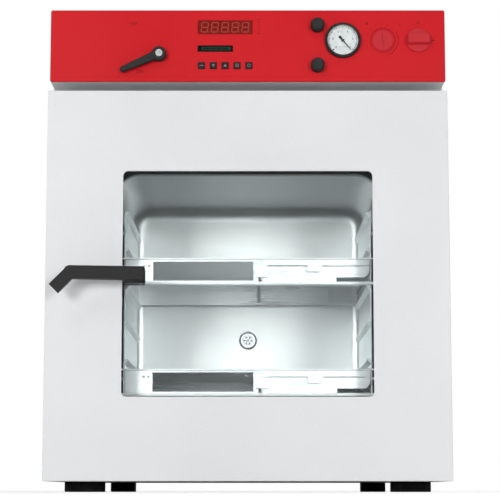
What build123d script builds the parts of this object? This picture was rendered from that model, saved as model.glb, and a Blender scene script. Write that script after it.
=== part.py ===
from build123d import *
from math import cos, radians, sin
import os

# Bench vacuum drying oven. Millimetres, +Z up, front faces -Y, +X to the right of the viewer.
# The origin is under the middle of the oven's box, at the height that the feet stand on.
# Depths are measured from the face of the door, positive towards the back.

# Body
body_width = 634.0
body_depth = 478.5
foot_height = 16.5
sheet = 1.5
casing_corner = 4.0
rear_recess = 8.0

# Control housing and its fascia
panel_gap = 14.5
panel_inset = 2.5
panel_height = 117.0
panel_corner = 3.0
fascia_thickness = 4.0
fascia_margin = 8.0
fascia_step = 0.5

# Door
door_height = 616.0
door_depth = 58.0
door_sheet = 2.0
door_corner = 2.5
door_edge = 1.2
door_flange = 15.0
body_gap = 13.5
window_side = 120.5
window_border = 130.0
window_corner = 8.0
pane_thickness = 4.0
pane_lap = 14.0
surround_clear = 12.0
surround_depth = 36.0
surround_flange = 25.5
spring_height = 3.0
spring_sheet = 0.8
spring_length = 44.0
spring_width = 12.0
vacuum_pane_thickness = 15.0
vacuum_pane_lap = 20.0
vacuum_pane_corner = 20.0
liner_sheet = 1.5
liner_clear = 2.0
clip_length = 30.0
clip_lip = 5.0
clip_foot = 15.0

# Chamber
chamber_side = 109.0
chamber_floor = 89.5
chamber_head = 126.5
chamber_depth = 332.5
chamber_wall = 3.0
chamber_corner = 34.0
chamber_rear_corner = 20.0
flange_width = 26.0
flange_thickness = 5.0
seal_width = 10.0
seal_inset = 3.0
seal_gap = 0.3
port_radius = 10.0
port_height = 163.4
baffle_radius = 16.0
baffle_depth = 6.0
baffle_edge = 3.0
baffle_recess = 2.0
baffle_hole = 1.6
baffle_ring = 6.0
baffle_holes = 6

# Rails on the chamber's side walls
rail_setback = 19.5
rail_plate_gap = 8.5
rail_plate_sheet = 1.5
rail_plate_foot = 14.0
rail_length = 300.0
rail_count = 6
rail_first = 46.4
rail_head = 54.6
rail_reach = 6.0
rail_height = 8.0
rail_lip = 2.4
stud_radius = 5.0
stud_shares = (0.12, 0.88)

# Expansion racks
rack_rails = {"upper": 3, "lower": 0}
rack_setback = 17.5
rack_depth = 300.0
rack_height = 43.2
rack_sheet = 2.0
rack_plate = 2.4
rack_side_gap = 1.0
rack_bar_reach = 7.0
rack_bar_height = 4.5
rack_bar_depth = 4.0
rack_hem = 12.0
rack_hem_sheet = 1.5
rack_window_side = 44.0
rack_window_gap = 8.0
rack_window_sill = 6.5
rack_window_head = 3.0
rack_split = 17.0
rack_travel = 4.0
rack_overlap = 22.0
rack_slip = 0.3
slide_foot_width = 53.5
slide_step_rise = 12.0
slide_side_height = 20.0
clamp_width = 20.0
clamp_height = 26.0
clamp_depth = 6.0
lever_gap = 1.5
lever_bar = (3.6, 2.5)
lever_end_gap = 79.5
lever_drop = 2.0
lever_inset = 15.0
lever_grip = (21.0, 12.0)
lever_knob_radius = 4.5
lever_knob_height = 2.0
rod_radius = 1.2
rod_end_gap = 8.5

# Concealed hinges
hinge_inset = 90.0
hinge_pin_setback = 30.0
hinge_pin_inset = 17.0
hinge_pin_radius = 4.0
hinge_fit = 0.05
hinge_eye_radius = 9.0
hinge_arm_width = 12.0
hinge_arm_height = 10.0
hinge_plate = (28.0, 48.0, 3.0)
bracket_sheet = 4.0
bracket_depth = 34.0

# Handle and latch
handle_height = 317.5
handle_inset = 18.5
handle_bar = 20.0
handle_thickness = 14.0
handle_stand_off = 50.0
handle_rise = 12.0
handle_end = 18.5
handle_bend = 94.0
handle_tip = 36.0
handle_tip_width = 18.5
handle_edge = 2.5
handle_turn = 35.0
bearing_width = 32.0
bearing_front = 5.5
bearing_gap = 0.3
bearing_depth = 26.0
spindle_radius = 6.0
spindle_fit = 0.05
spindle_share = 0.6
latch_gap = 4.0
latch_sheet = 4.0
latch_radius = 78.0
latch_eye = 9.0
latch_pin_radius = 3.0
latch_pin_clear = 1.2
latch_over_travel = 2.0
striker_gap = 3.0
striker_margin = 12.0

# Controls on the fascia: a place is a share of its width from the middle, and a height above its
# lower edge
control_clear = 0.6
display = (-0.0576, 88.8, 87.0, 22.2)
lcd = (-0.0824, 53.9, 55.8, 10.0)
display_sheet = 1.3
key_size = 11.0
key_count = 5
key_first = (-0.1173, 26.0)
key_pitch = 18.9
key_proud = 1.5
key_travel = 0.8
key_clear = 0.3
key_stop = 1.2
valve_place = (-0.2238, 43.3)
valve_hub_radius = 11.2
valve_arm_radii = (7.2, 4.3)
valve_arm_length = 63.0
valve_arm_angle = 204.0
valve_arm_thickness = 8.0
valve_hub_height = 13.0
valve_cap_radius = 5.5
valve_cap_height = 3.0
valve_edge = 1.4
valve_body_size = (38.0, 36.0, 40.0)
stem_radius = 4.0
knob_places = {"vent_knob": (0.1765, 90.5), "gas_knob": (0.1765, 25.2)}
knob_radius = 11.0
knob_height = 16.0
knob_flutes = 18
knob_flute_radius = 0.8
knob_cap_radius = 10.1
knob_cap_height = 4.0
knob_edge = 1.8
knob_stem_radius = 3.0
needle_valve_radius = 9.0
needle_valve_length = 26.0
gauge_place = (0.2407, 66.5)
gauge_radius = 28.5
gauge_bezel = 4.0
gauge_edge = 1.6
gauge_proud = 8.0
gauge_case_radius = 26.0
gauge_case_depth = 34.0
gauge_dial_sheet = 1.0
gauge_dial_setback = 6.5
gauge_lens_sheet = 1.5
gauge_slip = 0.1
gauge_lens_setback = 1.0
arbor_radius = 1.0
pointer_length = 19.5
pointer_tail = 7.0
pointer_root = 1.1
pointer_tip = 0.35
pointer_neck = 0.8
pointer_weight = 2.2
pointer_angle = -50.0
pointer_sheet = 0.6
dial_place = (0.3421, 67.3)
dial_radius = 17.0
dial_ring = (21.5, 24.0)
dial_proud = 1.2
dial_slot = (24.0, 2.2, 1.6)
dial_slot_angle = 96.0
switch_place = (0.4318, 67.3)
switch_radius = 19.5
switch_base = 4.0
switch_grip = (37.0, 17.0, 11.0)
switch_grip_corner = 4.0
switch_draft = 8.0
switch_edge = 1.3
switch_block = (44.0, 30.0)
board_size = (112.0, 100.0, 1.6)
board_gap = 10.0
standoff_radius = 3.0
board_parts_height = 7.0
connector_size = (38.0, 11.0)

# Services behind the chamber and through the rear panel
insulation_side = 15.0
insulation_top = 87.0
insulation_back = 44.0
heater_sheet = 2.0
heater_clear = 2.0
probe_size = (30.0, 12.0)
vacuum_pipe_radius = 6.0
gas_pipe_radius = 3.0
branch_pipe_radius = 2.5
vacuum_drop = 10.0
pipe_way = 20.0
port_reach = 28.0
port_bore = 8.0
port_tube = 10.0
port_rim = (15.0, 3.0)
port_taper = 5.0
port_plate = 3.0
nozzle_radius = 4.0
nozzle_bore = 2.5
nozzle_nut = (8.0, 6.0)
gland_inset = 67.0
gland_level = 60.0
gland_radius = 12.0
gland_bore = 4.5
gland_nut_radius = 10.2
gland_steps = (8.4, 16.8, 25.2)
gland_lip = 1.5
service_hole_radius = 7.0
vent_slot = (120.0, 5.0)
vent_slot_pitch = 12.0
vent_slots = 7
vent_slot_inset = 102.0

# Feet
front_foot = (62.0, 40.0)
rear_foot = (44.5, 40.0)
front_foot_inset = 56.5
rear_foot_inset = 86.2
foot_setback = 10.0
foot_corner = 3.0

# Widths and heights that follow
panel_width = body_width - 2 * panel_inset
window_width = body_width - 2 * window_side
window_height = door_height - 2 * window_border
chamber_width = body_width - 2 * chamber_side
chamber_height = door_height - chamber_floor - chamber_head
rail_pitch = (chamber_height - rail_first - rail_head) / (rail_count - 1)

# Levels that follow
door_bottom = foot_height
door_top = door_bottom + door_height
door_mid = (door_bottom + door_top) / 2
panel_bottom = door_top + panel_gap
panel_top = panel_bottom + panel_height
panel_mid = (panel_bottom + panel_top) / 2
casing_height = panel_top - foot_height
casing_mid = (panel_top + foot_height) / 2
window_mid = door_mid
chamber_bottom = door_bottom + chamber_floor
chamber_top = chamber_bottom + chamber_height
chamber_mid = (chamber_bottom + chamber_top) / 2
handle_level = door_bottom + handle_height
spindle_x = -window_width / 2 + handle_inset

# Depths that follow
body_front = door_depth + body_gap
body_back = body_front + body_depth
rear_panel_face = body_back - rear_recess
chamber_front = body_front - flange_thickness
chamber_rear = chamber_front + chamber_depth
surround_front = door_sheet + pane_thickness
surround_back = surround_front + surround_depth
vacuum_pane_front = surround_back + spring_height
vacuum_pane_back = vacuum_pane_front + vacuum_pane_thickness
seal_front = vacuum_pane_back + seal_gap
liner_back = door_depth - door_sheet
frame_back = body_front + sheet
rack_front = chamber_front + rack_setback
handle_front = handle_stand_off + handle_rise

# Place of the door's face along Y, with the box of the whole oven centred on the origin
door_face = -(body_back - rear_recess + port_reach - handle_front) / 2

# Half widths that follow
chamber_half = chamber_width / 2
pane_half = chamber_half + vacuum_pane_lap
rail_face = chamber_half - rail_plate_gap - rail_plate_sheet
rack_half = rail_face - rack_side_gap
rack_bar_half = rail_face + rack_bar_reach - rack_side_gap


def front_plane(depth):
    """Plane that looks to the front, at a depth behind the door's face."""
    return Plane.XZ.offset(-(door_face + depth))


def level_plane(height):
    """Horizontal plane whose Y is counted from the door's face."""
    return Plane(origin=(0, door_face, height), x_dir=(1, 0, 0), z_dir=(0, 0, 1))


def rear_axis_plane(x, depth, height):
    """Plane through an axis that points to the back, for turned pieces."""
    return Plane(origin=(x, door_face + depth, height), x_dir=(0, 1, 0), z_dir=(1, 0, 0))


def on_panel(place):
    """Point on the fascia, from a share of its width and a height above its lower edge."""
    return place[0] * panel_width, panel_bottom + place[1]


def key_place(number):
    """Middle of a key, counted from the left one."""
    first_x, level = on_panel(key_first)
    return first_x + number * key_pitch, level


def save(built, name):
    """Label a finished piece and write it to its own file."""
    built.part.label = name
    export_step(built.part, f"parts/{name}.step")


os.makedirs("parts", exist_ok=True)


# Outer casing: top and both sides from one folded sheet
with BuildPart() as outer_casing:
    with BuildSketch(front_plane(body_front)):
        with Locations((0, casing_mid)):
            RectangleRounded(body_width, casing_height, casing_corner)
        with Locations((0, foot_height)):
            Rectangle(body_width, 2 * casing_corner)
        with Locations((0, casing_mid - sheet)):
            RectangleRounded(
                body_width - 2 * sheet, casing_height, casing_corner - sheet, mode=Mode.SUBTRACT
            )
        with Locations((0, foot_height)):
            Rectangle(body_width - 2 * sheet, 2 * casing_corner, mode=Mode.SUBTRACT)
        with Locations((0, foot_height)):
            Rectangle(
                body_width, 2 * casing_corner, align=(Align.CENTER, Align.MAX), mode=Mode.SUBTRACT
            )
    extrude(amount=-body_depth)
save(outer_casing, "outer_casing")


# Base plate between the casing's sides
with BuildPart() as base_plate:
    with BuildSketch(Plane.XY.offset(foot_height)):
        with Locations((0, door_face + (frame_back + body_back) / 2)):
            Rectangle(body_width - 2 * sheet, body_back - frame_back)
    extrude(amount=sheet)
save(base_plate, "base_plate")


# Front frame: the sheet behind the door, with the opening that holds the tank
with BuildPart() as front_frame:
    with BuildSketch(front_plane(body_front)):
        with Locations((0, (foot_height + panel_bottom) / 2)):
            Rectangle(body_width - 2 * sheet, panel_bottom - foot_height)
        with Locations((0, chamber_mid)):
            RectangleRounded(
                chamber_width + 2 * (chamber_wall + control_clear),
                chamber_height + 2 * (chamber_wall + control_clear),
                chamber_corner + chamber_wall + control_clear,
                mode=Mode.SUBTRACT,
            )
    extrude(amount=-sheet)
save(front_frame, "front_frame")


# Rear panel, set in from the casing's back edge, with ventilation slots and service holes
gland_place = (gland_inset - body_width / 2, gland_level)
service_places = [on_panel(valve_place), gland_place, *map(on_panel, knob_places.values())]
vent_slot_levels = (panel_mid, foot_height + vent_slot_pitch * vent_slots)
with BuildPart() as rear_panel:
    with BuildSketch(front_plane(rear_panel_face - sheet)):
        with Locations((0, (foot_height + panel_top) / 2)):
            Rectangle(body_width - 2 * sheet, casing_height - 2 * sheet)
        with Locations(*service_places):
            Circle(service_hole_radius, mode=Mode.SUBTRACT)
        for level in vent_slot_levels:
            with Locations((body_width / 2 - vent_slot_inset, level)):
                with GridLocations(0, vent_slot_pitch, 1, vent_slots):
                    Rectangle(*vent_slot, mode=Mode.SUBTRACT)
    extrude(amount=-sheet)
    fillet(
        rear_panel.edges().filter_by(Axis.Y).group_by(Axis.Z)[-1], casing_corner - sheet
    )
save(rear_panel, "rear_panel")


# Control housing: box in front of the casing, open to it behind, with a rear flange
with BuildPart() as control_housing:
    with BuildSketch(front_plane(fascia_thickness)):
        with Locations((0, panel_mid)):
            RectangleRounded(panel_width, panel_height, panel_corner)
            RectangleRounded(
                panel_width - 2 * sheet,
                panel_height - 2 * sheet,
                panel_corner - sheet,
                mode=Mode.SUBTRACT,
            )
    extrude(amount=-(body_front - fascia_thickness))
    with BuildSketch(front_plane(body_front - sheet)):
        with Locations((0, panel_mid)):
            RectangleRounded(body_width, panel_height, panel_corner)
            Rectangle(
                panel_width - 2 * sheet, panel_height - 2 * sheet, mode=Mode.SUBTRACT
            )
    extrude(amount=-sheet)
save(control_housing, "control_housing")


# Fascia: a plate with a raised field, pockets for the windows and holes for the controls
with BuildPart() as control_fascia:
    with BuildSketch(front_plane(fascia_step)):
        with Locations((0, panel_mid)):
            RectangleRounded(panel_width, panel_height, panel_corner)
    extrude(amount=-(fascia_thickness - fascia_step))
    chamfer(control_fascia.faces().sort_by(Axis.Y)[0].edges(), 2 * fascia_step)
    with BuildSketch(front_plane(fascia_step)):
        with Locations((0, panel_mid)):
            RectangleRounded(
                panel_width - 2 * fascia_margin, panel_height - 2 * fascia_margin, panel_corner
            )
        with Locations(on_panel(dial_place)):
            Circle(dial_ring[1], mode=Mode.SUBTRACT)
    extrude(amount=fascia_step)
    with BuildSketch(front_plane(fascia_step)):
        with Locations(on_panel(dial_place)):
            Circle(dial_ring[0])
    extrude(amount=fascia_step)
    with BuildSketch(front_plane(0)):
        for window in (display, lcd):
            with Locations(on_panel(window)):
                Rectangle(window[2] + 2 * key_clear, window[3] + 2 * key_clear)
    extrude(amount=-display_sheet, mode=Mode.SUBTRACT)
    with BuildSketch(front_plane(0)):
        with Locations(on_panel(valve_place)):
            Circle(stem_radius + control_clear)
        with Locations(*[on_panel(place) for place in knob_places.values()]):
            Circle(knob_stem_radius + control_clear)
        with Locations(on_panel(gauge_place)):
            Circle(gauge_case_radius + control_clear / 2)
        with Locations(on_panel(dial_place)):
            Circle(dial_radius + control_clear / 2)
        with Locations(on_panel(switch_place)):
            Circle(knob_stem_radius + control_clear)
        for key in range(key_count):
            with Locations(key_place(key)):
                Rectangle(key_size + 2 * key_clear, key_size + 2 * key_clear)
    extrude(amount=-fascia_thickness, mode=Mode.SUBTRACT)
save(control_fascia, "control_fascia")


def window_plate(window):
    """Filter plate that lies in its pocket in the fascia."""
    with BuildPart() as plate:
        with BuildSketch(front_plane(0)):
            with Locations(on_panel(window)):
                Rectangle(window[2], window[3])
        extrude(amount=-display_sheet)
    return plate


save(window_plate(display), "display_window")
save(window_plate(lcd), "lcd_window")


# Controller board on four stand-offs, with its display block and two connectors
board_face = fascia_thickness + board_gap
board_x = (on_panel(display)[0] + on_panel(lcd)[0]) / 2
with BuildPart() as controller_board:
    with BuildSketch(front_plane(board_face)):
        with Locations((board_x, panel_mid)):
            Rectangle(board_size[0], board_size[1])
    extrude(amount=-board_size[2])
    with BuildSketch(front_plane(board_face)):
        with Locations((board_x, panel_mid)):
            with GridLocations(
                board_size[0] - 4 * standoff_radius, board_size[1] - 3 * standoff_radius, 2, 2
            ):
                Circle(standoff_radius)
    extrude(amount=board_gap)
    with BuildSketch(front_plane(board_face)):
        with Locations(on_panel(display)):
            Rectangle(display[2] - 4 * standoff_radius, display[3] - standoff_radius)
    extrude(amount=board_parts_height)
    with BuildSketch(front_plane(board_face + board_size[2])):
        with Locations((board_x, panel_mid)):
            with GridLocations(board_size[0] / 2, 0, 2, 1):
                Rectangle(*connector_size)
    extrude(amount=-connector_size[1])
save(controller_board, "controller_board")


def make_key(number):
    """Square key with a stop behind the fascia and a plunger towards the board."""
    place = key_place(number)
    with BuildPart() as key:
        with BuildSketch(front_plane(-key_proud)):
            with Locations(place):
                Rectangle(key_size, key_size)
        extrude(amount=-(key_proud + fascia_thickness + key_clear))
        chamfer(key.faces().sort_by(Axis.Y)[0].edges(), key_clear)
        with BuildSketch(front_plane(fascia_thickness + key_clear)):
            with Locations(place):
                Rectangle(key_size + 2 * key_stop, key_size + 2 * key_stop)
        extrude(amount=-key_proud)
        with BuildSketch(front_plane(fascia_thickness + key_clear)):
            with Locations(place):
                Circle(standoff_radius)
        extrude(amount=-(board_gap - 2 * key_clear - key_travel))
    return key


for number in range(key_count):
    save(make_key(number), f"key_{number + 1}")


# Tank: rounded stainless box, open in front, with its seal flange and rear port
with BuildPart() as inner_chamber:
    with BuildSketch(front_plane(chamber_front)):
        with Locations((0, chamber_mid)):
            RectangleRounded(
                chamber_width + 2 * chamber_wall,
                chamber_height + 2 * chamber_wall,
                chamber_corner + chamber_wall,
            )
    extrude(amount=-(chamber_depth + chamber_wall))
    fillet(
        inner_chamber.faces().sort_by(Axis.Y)[-1].edges(), chamber_rear_corner + chamber_wall
    )
    offset(
        amount=-chamber_wall, openings=inner_chamber.faces().sort_by(Axis.Y)[0], kind=Kind.ARC
    )
    with BuildSketch(front_plane(chamber_front)):
        with Locations((0, chamber_mid)):
            RectangleRounded(
                chamber_width + 2 * flange_width,
                chamber_height + 2 * flange_width,
                chamber_corner + flange_width,
            )
            RectangleRounded(chamber_width, chamber_height, chamber_corner, mode=Mode.SUBTRACT)
    extrude(amount=-flange_thickness)
    with BuildSketch(front_plane(chamber_rear)):
        with Locations((0, chamber_bottom + port_height)):
            Circle(port_radius)
    extrude(amount=-chamber_wall, mode=Mode.SUBTRACT)
save(inner_chamber, "inner_chamber")


# Door seal: a silicone ring with a rounded front, on the tank's flange
with BuildPart() as door_seal:
    with BuildSketch(front_plane(chamber_front)):
        with Locations((0, chamber_mid)):
            RectangleRounded(
                chamber_width + 2 * (seal_inset + seal_width),
                chamber_height + 2 * (seal_inset + seal_width),
                chamber_corner + seal_inset + seal_width,
            )
            RectangleRounded(
                chamber_width + 2 * seal_inset,
                chamber_height + 2 * seal_inset,
                chamber_corner + seal_inset,
                mode=Mode.SUBTRACT,
            )
    extrude(amount=chamber_front - seal_front)
    chamfer(door_seal.faces().sort_by(Axis.Y)[0].edges(), seal_width / 5)
save(door_seal, "door_seal")


# Baffle over the rear port: a bevelled ring with a perforated disc
with BuildPart() as port_baffle:
    with BuildSketch(front_plane(chamber_rear)):
        with Locations((0, chamber_bottom + port_height)):
            Circle(baffle_radius)
    extrude(amount=baffle_depth)
    chamfer(port_baffle.faces().sort_by(Axis.Y)[0].edges(), baffle_edge)
    with BuildSketch(front_plane(chamber_rear - baffle_depth)):
        with Locations((0, chamber_bottom + port_height)):
            Circle(port_radius)
    extrude(amount=-baffle_recess, mode=Mode.SUBTRACT)
    with BuildSketch(front_plane(chamber_rear)):
        with Locations((0, chamber_bottom + port_height)):
            Circle(baffle_hole)
            with PolarLocations(baffle_ring, baffle_holes):
                Circle(baffle_hole)
    extrude(amount=baffle_depth, mode=Mode.SUBTRACT)
save(port_baffle, "port_baffle")


def rail_level(number):
    """Height of the top of a rail, counted from the lowest one."""
    return chamber_bottom + rail_first + number * rail_pitch


# Rail plates: one on each side wall, on studs, each with its row of wedge-shaped rails
rail_front = chamber_front + rail_setback
rail_plate_bottom = chamber_bottom + rail_plate_foot
rail_plate_top = rail_level(rail_count - 1) + rail_lip
rail_levels = [rail_level(number) for number in range(rail_count)]
stud_depths = [rail_front + share * rail_length for share in stud_shares]
stud_levels = [rail_level(number) - rail_pitch / 2 for number in (1, rail_count - 1)]
with BuildPart() as rail_plates:
    with BuildSketch(front_plane(rail_front)):
        with Locations((rail_face, rail_plate_bottom)):
            Rectangle(
                rail_plate_sheet,
                rail_plate_top - rail_plate_bottom,
                align=(Align.MIN, Align.MIN),
            )
        for level in rail_levels:
            with BuildLine():
                Polyline(
                    (rail_face, level),
                    (rail_face - rail_reach, level),
                    (rail_face - rail_reach, level - rail_lip),
                    (rail_face, level - rail_height),
                    close=True,
                )
            make_face()
    extrude(amount=-rail_length)
    with BuildSketch(Plane.YZ.offset(rail_face + rail_plate_sheet)):
        for depth in stud_depths:
            for level in stud_levels:
                with Locations((door_face + depth, level)):
                    Circle(stud_radius)
    extrude(amount=rail_plate_gap)
    mirror(about=Plane.YZ)
save(rail_plates, "rail_plates")


# Insulation: a block around the tank, with ways for the pipes
insulation_half = body_width / 2 - sheet - insulation_side
insulation_bottom = foot_height + sheet
insulation_high = chamber_top + insulation_top
insulation_rear = chamber_rear + chamber_wall + insulation_back
tank_pocket = chamber_wall + heater_sheet + heater_clear
pipe_place = on_panel(knob_places["vent_knob"])[0]
gauge_x = on_panel(gauge_place)[0]
drop_depth = (chamber_front + chamber_rear) / 2
with BuildPart() as insulation:
    with BuildSketch(front_plane(frame_back)):
        with Locations((0, (insulation_bottom + insulation_high) / 2)):
            Rectangle(2 * insulation_half, insulation_high - insulation_bottom)
    extrude(amount=-(insulation_rear - frame_back))
    with BuildSketch(front_plane(frame_back)):
        with Locations((0, chamber_mid)):
            RectangleRounded(
                chamber_width + 2 * tank_pocket,
                chamber_height + 2 * tank_pocket,
                chamber_corner + tank_pocket,
            )
    extrude(
        amount=-(chamber_rear + chamber_wall + heater_clear - frame_back), mode=Mode.SUBTRACT
    )
    with BuildSketch(front_plane(chamber_rear)):
        with Locations((0, chamber_bottom + port_height)):
            Circle(vacuum_pipe_radius + heater_clear)
    extrude(amount=-(insulation_rear - chamber_rear), mode=Mode.SUBTRACT)
    with BuildSketch(level_plane(chamber_top)):
        with Locations((pipe_place, drop_depth), (gauge_x, drop_depth)):
            Circle(gas_pipe_radius + heater_clear)
    extrude(amount=insulation_high - chamber_top, mode=Mode.SUBTRACT)
save(insulation, "insulation")


# Heating mats on the tank's sides and underside
mat_length = chamber_depth - 3 * chamber_rear_corner
mat_height = chamber_height - 3 * chamber_corner
mat_width = chamber_width - 3 * chamber_corner
tank_outside = chamber_half + chamber_wall
with BuildPart() as heater_mats:
    with BuildSketch(front_plane(frame_back + chamber_rear_corner)):
        for side in (1, -1):
            with Locations((side * (tank_outside + heater_sheet / 2), chamber_mid)):
                Rectangle(heater_sheet, mat_height)
        with Locations((0, chamber_bottom - chamber_wall - heater_sheet / 2)):
            Rectangle(mat_width, heater_sheet)
    extrude(amount=-mat_length)
save(heater_mats, "heater_mats")


# Temperature probe clamped flat on top of the tank
probe_level = chamber_top + chamber_wall
with BuildPart() as temperature_probe:
    with BuildSketch(level_plane(probe_level)):
        with Locations((-chamber_width / 4, drop_depth)):
            Rectangle(probe_size[0], probe_size[1])
    extrude(amount=heater_clear + heater_sheet / 2)
    with BuildSketch(Plane.YZ.offset(-chamber_width / 4 - probe_size[0] / 2)):
        with Locations((door_face + drop_depth, probe_level + heater_clear / 2)):
            Circle(heater_clear / 2)
    extrude(amount=-probe_size[0])
save(temperature_probe, "temperature_probe")


# Vacuum valve body behind the fascia, with the bore of the lever's stem
valve_x, valve_z = on_panel(valve_place)
valve_back = fascia_thickness + valve_body_size[2]
valve_foot = valve_z - valve_body_size[1] / 2
with BuildPart() as vacuum_valve:
    with BuildSketch(front_plane(fascia_thickness)):
        with Locations((valve_x, valve_z)):
            RectangleRounded(valve_body_size[0], valve_body_size[1], stem_radius)
    extrude(amount=-valve_body_size[2])
    with BuildSketch(front_plane(fascia_thickness)):
        with Locations((valve_x, valve_z)):
            Circle(stem_radius + hinge_fit)
    extrude(amount=-valve_body_size[2] / 2, mode=Mode.SUBTRACT)
save(vacuum_valve, "vacuum_valve")


# Needle valve bodies behind their knobs, each with a hexagonal nut
with BuildPart() as needle_valves:
    with BuildSketch(front_plane(fascia_thickness)):
        with Locations(*[on_panel(place) for place in knob_places.values()]):
            Circle(needle_valve_radius)
    extrude(amount=-needle_valve_length)
    with BuildSketch(front_plane(fascia_thickness)):
        with Locations(*[on_panel(place) for place in knob_places.values()]):
            RegularPolygon(needle_valve_radius + knob_stem_radius, 6)
    extrude(amount=-needle_valve_length / 4)
    with BuildSketch(front_plane(fascia_thickness)):
        with Locations(*[on_panel(place) for place in knob_places.values()]):
            Circle(knob_stem_radius + hinge_fit)
    extrude(amount=-needle_valve_length / 2, mode=Mode.SUBTRACT)
save(needle_valves, "needle_valves")


# Thermostat and switch bodies behind their knobs
with BuildPart() as rotary_switches:
    with BuildSketch(front_plane(fascia_thickness)):
        with Locations(on_panel(dial_place), on_panel(switch_place)):
            RectangleRounded(switch_block[0], switch_block[0], knob_stem_radius)
    extrude(amount=-switch_block[1])
    with BuildSketch(front_plane(fascia_thickness)):
        with Locations(on_panel(dial_place), on_panel(switch_place)):
            Circle(knob_stem_radius + hinge_fit)
    extrude(amount=-switch_block[1] / 2, mode=Mode.SUBTRACT)
save(rotary_switches, "rotary_switches")


# Lever of the vacuum valve: round hub, tapered arm and stem
arm_tip = (
    valve_x + valve_arm_length * cos(radians(valve_arm_angle)),
    valve_z + valve_arm_length * sin(radians(valve_arm_angle)),
)
with BuildPart() as valve_lever:
    with BuildSketch(front_plane(-control_clear)):
        with Locations((valve_x, valve_z)):
            Circle(valve_hub_radius)
    extrude(amount=valve_hub_height)
    with BuildSketch(front_plane(-control_clear - valve_hub_height)):
        with Locations((valve_x, valve_z)):
            Circle(valve_arm_radii[0])
        with Locations(arm_tip):
            Circle(valve_arm_radii[1])
        make_hull()
    extrude(amount=-valve_arm_thickness)
    chamfer(valve_lever.faces().sort_by(Axis.Y)[0].edges(), valve_edge)
    with BuildSketch(front_plane(-control_clear)):
        with Locations((valve_x, valve_z)):
            Circle(stem_radius)
    extrude(amount=-(control_clear + fascia_thickness + valve_body_size[2] / 2 - key_clear))
save(valve_lever, "valve_lever")


# Screw cap on the lever's hub
with BuildPart() as lever_cap:
    with BuildSketch(front_plane(-control_clear - valve_hub_height)):
        with Locations((valve_x, valve_z)):
            Circle(valve_cap_radius)
    extrude(amount=valve_cap_height)
    chamfer(lever_cap.faces().sort_by(Axis.Y)[0].edges(), valve_cap_height / 3)
save(lever_cap, "lever_cap")


def make_knob(place):
    """Fluted needle-valve knob with its stem."""
    with BuildPart() as knob:
        with BuildSketch(front_plane(-control_clear)):
            with Locations(place):
                Circle(knob_radius)
                with PolarLocations(knob_radius, knob_flutes):
                    Circle(knob_flute_radius, mode=Mode.SUBTRACT)
        extrude(amount=knob_height - knob_cap_height)
        with BuildSketch(front_plane(knob_cap_height - knob_height - control_clear)):
            with Locations(place):
                Circle(knob_cap_radius)
        extrude(amount=knob_cap_height)
        chamfer(knob.faces().sort_by(Axis.Y)[0].edges(), knob_edge)
        with BuildSketch(front_plane(-control_clear)):
            with Locations(place):
                Circle(knob_stem_radius)
        extrude(
            amount=-(control_clear + fascia_thickness + needle_valve_length / 2 - key_clear)
        )
    return knob


for knob_name, place in knob_places.items():
    save(make_knob(on_panel(place)), knob_name)


# Gauge case with its bezel and the well that holds dial, pointer and lens
gauge_centre = on_panel(gauge_place)
gauge_well = gauge_radius - gauge_bezel
dial_back = gauge_dial_setback - gauge_proud
with BuildPart() as gauge_case:
    with BuildSketch(front_plane(-gauge_proud)):
        with Locations(gauge_centre):
            Circle(gauge_radius)
    extrude(amount=-gauge_proud)
    chamfer(gauge_case.faces().sort_by(Axis.Y)[0].edges(), gauge_edge)
    with BuildSketch(front_plane(0)):
        with Locations(gauge_centre):
            Circle(gauge_case_radius)
    extrude(amount=-gauge_case_depth)
    with BuildSketch(front_plane(-gauge_proud)):
        with Locations(gauge_centre):
            Circle(gauge_well)
    extrude(amount=-gauge_dial_setback, mode=Mode.SUBTRACT)
    with BuildSketch(front_plane(dial_back)):
        with Locations(gauge_centre):
            Circle(arbor_radius + hinge_fit)
    extrude(amount=-gauge_proud, mode=Mode.SUBTRACT)
save(gauge_case, "gauge_case")


with BuildPart() as gauge_dial:
    with BuildSketch(front_plane(dial_back)):
        with Locations(gauge_centre):
            Circle(gauge_well - gauge_slip)
            Circle(arbor_radius + key_clear, mode=Mode.SUBTRACT)
    extrude(amount=gauge_dial_sheet)
save(gauge_dial, "gauge_dial")


with BuildPart() as gauge_lens:
    with BuildSketch(front_plane(gauge_lens_setback - gauge_proud)):
        with Locations(gauge_centre):
            Circle(gauge_well - gauge_slip)
    extrude(amount=-gauge_lens_sheet)
save(gauge_lens, "gauge_lens")


def around_gauge(distance):
    """Point at a distance from the gauge's middle along the pointer."""
    angle = radians(pointer_angle)
    return gauge_centre[0] + distance * cos(angle), gauge_centre[1] + distance * sin(angle)


# Pointer with its hub, counterweight and arbor
pointer_back = dial_back - gauge_dial_sheet - 2 * key_clear
with BuildPart() as gauge_pointer:
    with BuildSketch(front_plane(pointer_back)):
        with Locations(around_gauge(0)):
            Circle(pointer_root)
        with Locations(around_gauge(pointer_length)):
            Circle(pointer_tip)
        make_hull()
    extrude(amount=pointer_sheet)
    with BuildSketch(front_plane(pointer_back)):
        with Locations(around_gauge(0)):
            Circle(pointer_neck)
        with Locations(around_gauge(-pointer_tail)):
            Circle(pointer_weight)
        make_hull()
    extrude(amount=pointer_sheet)
    with BuildSketch(front_plane(pointer_back - pointer_sheet)):
        with Locations(gauge_centre):
            Circle(arbor_radius)
    extrude(amount=-gauge_proud)
save(gauge_pointer, "gauge_pointer")


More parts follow.
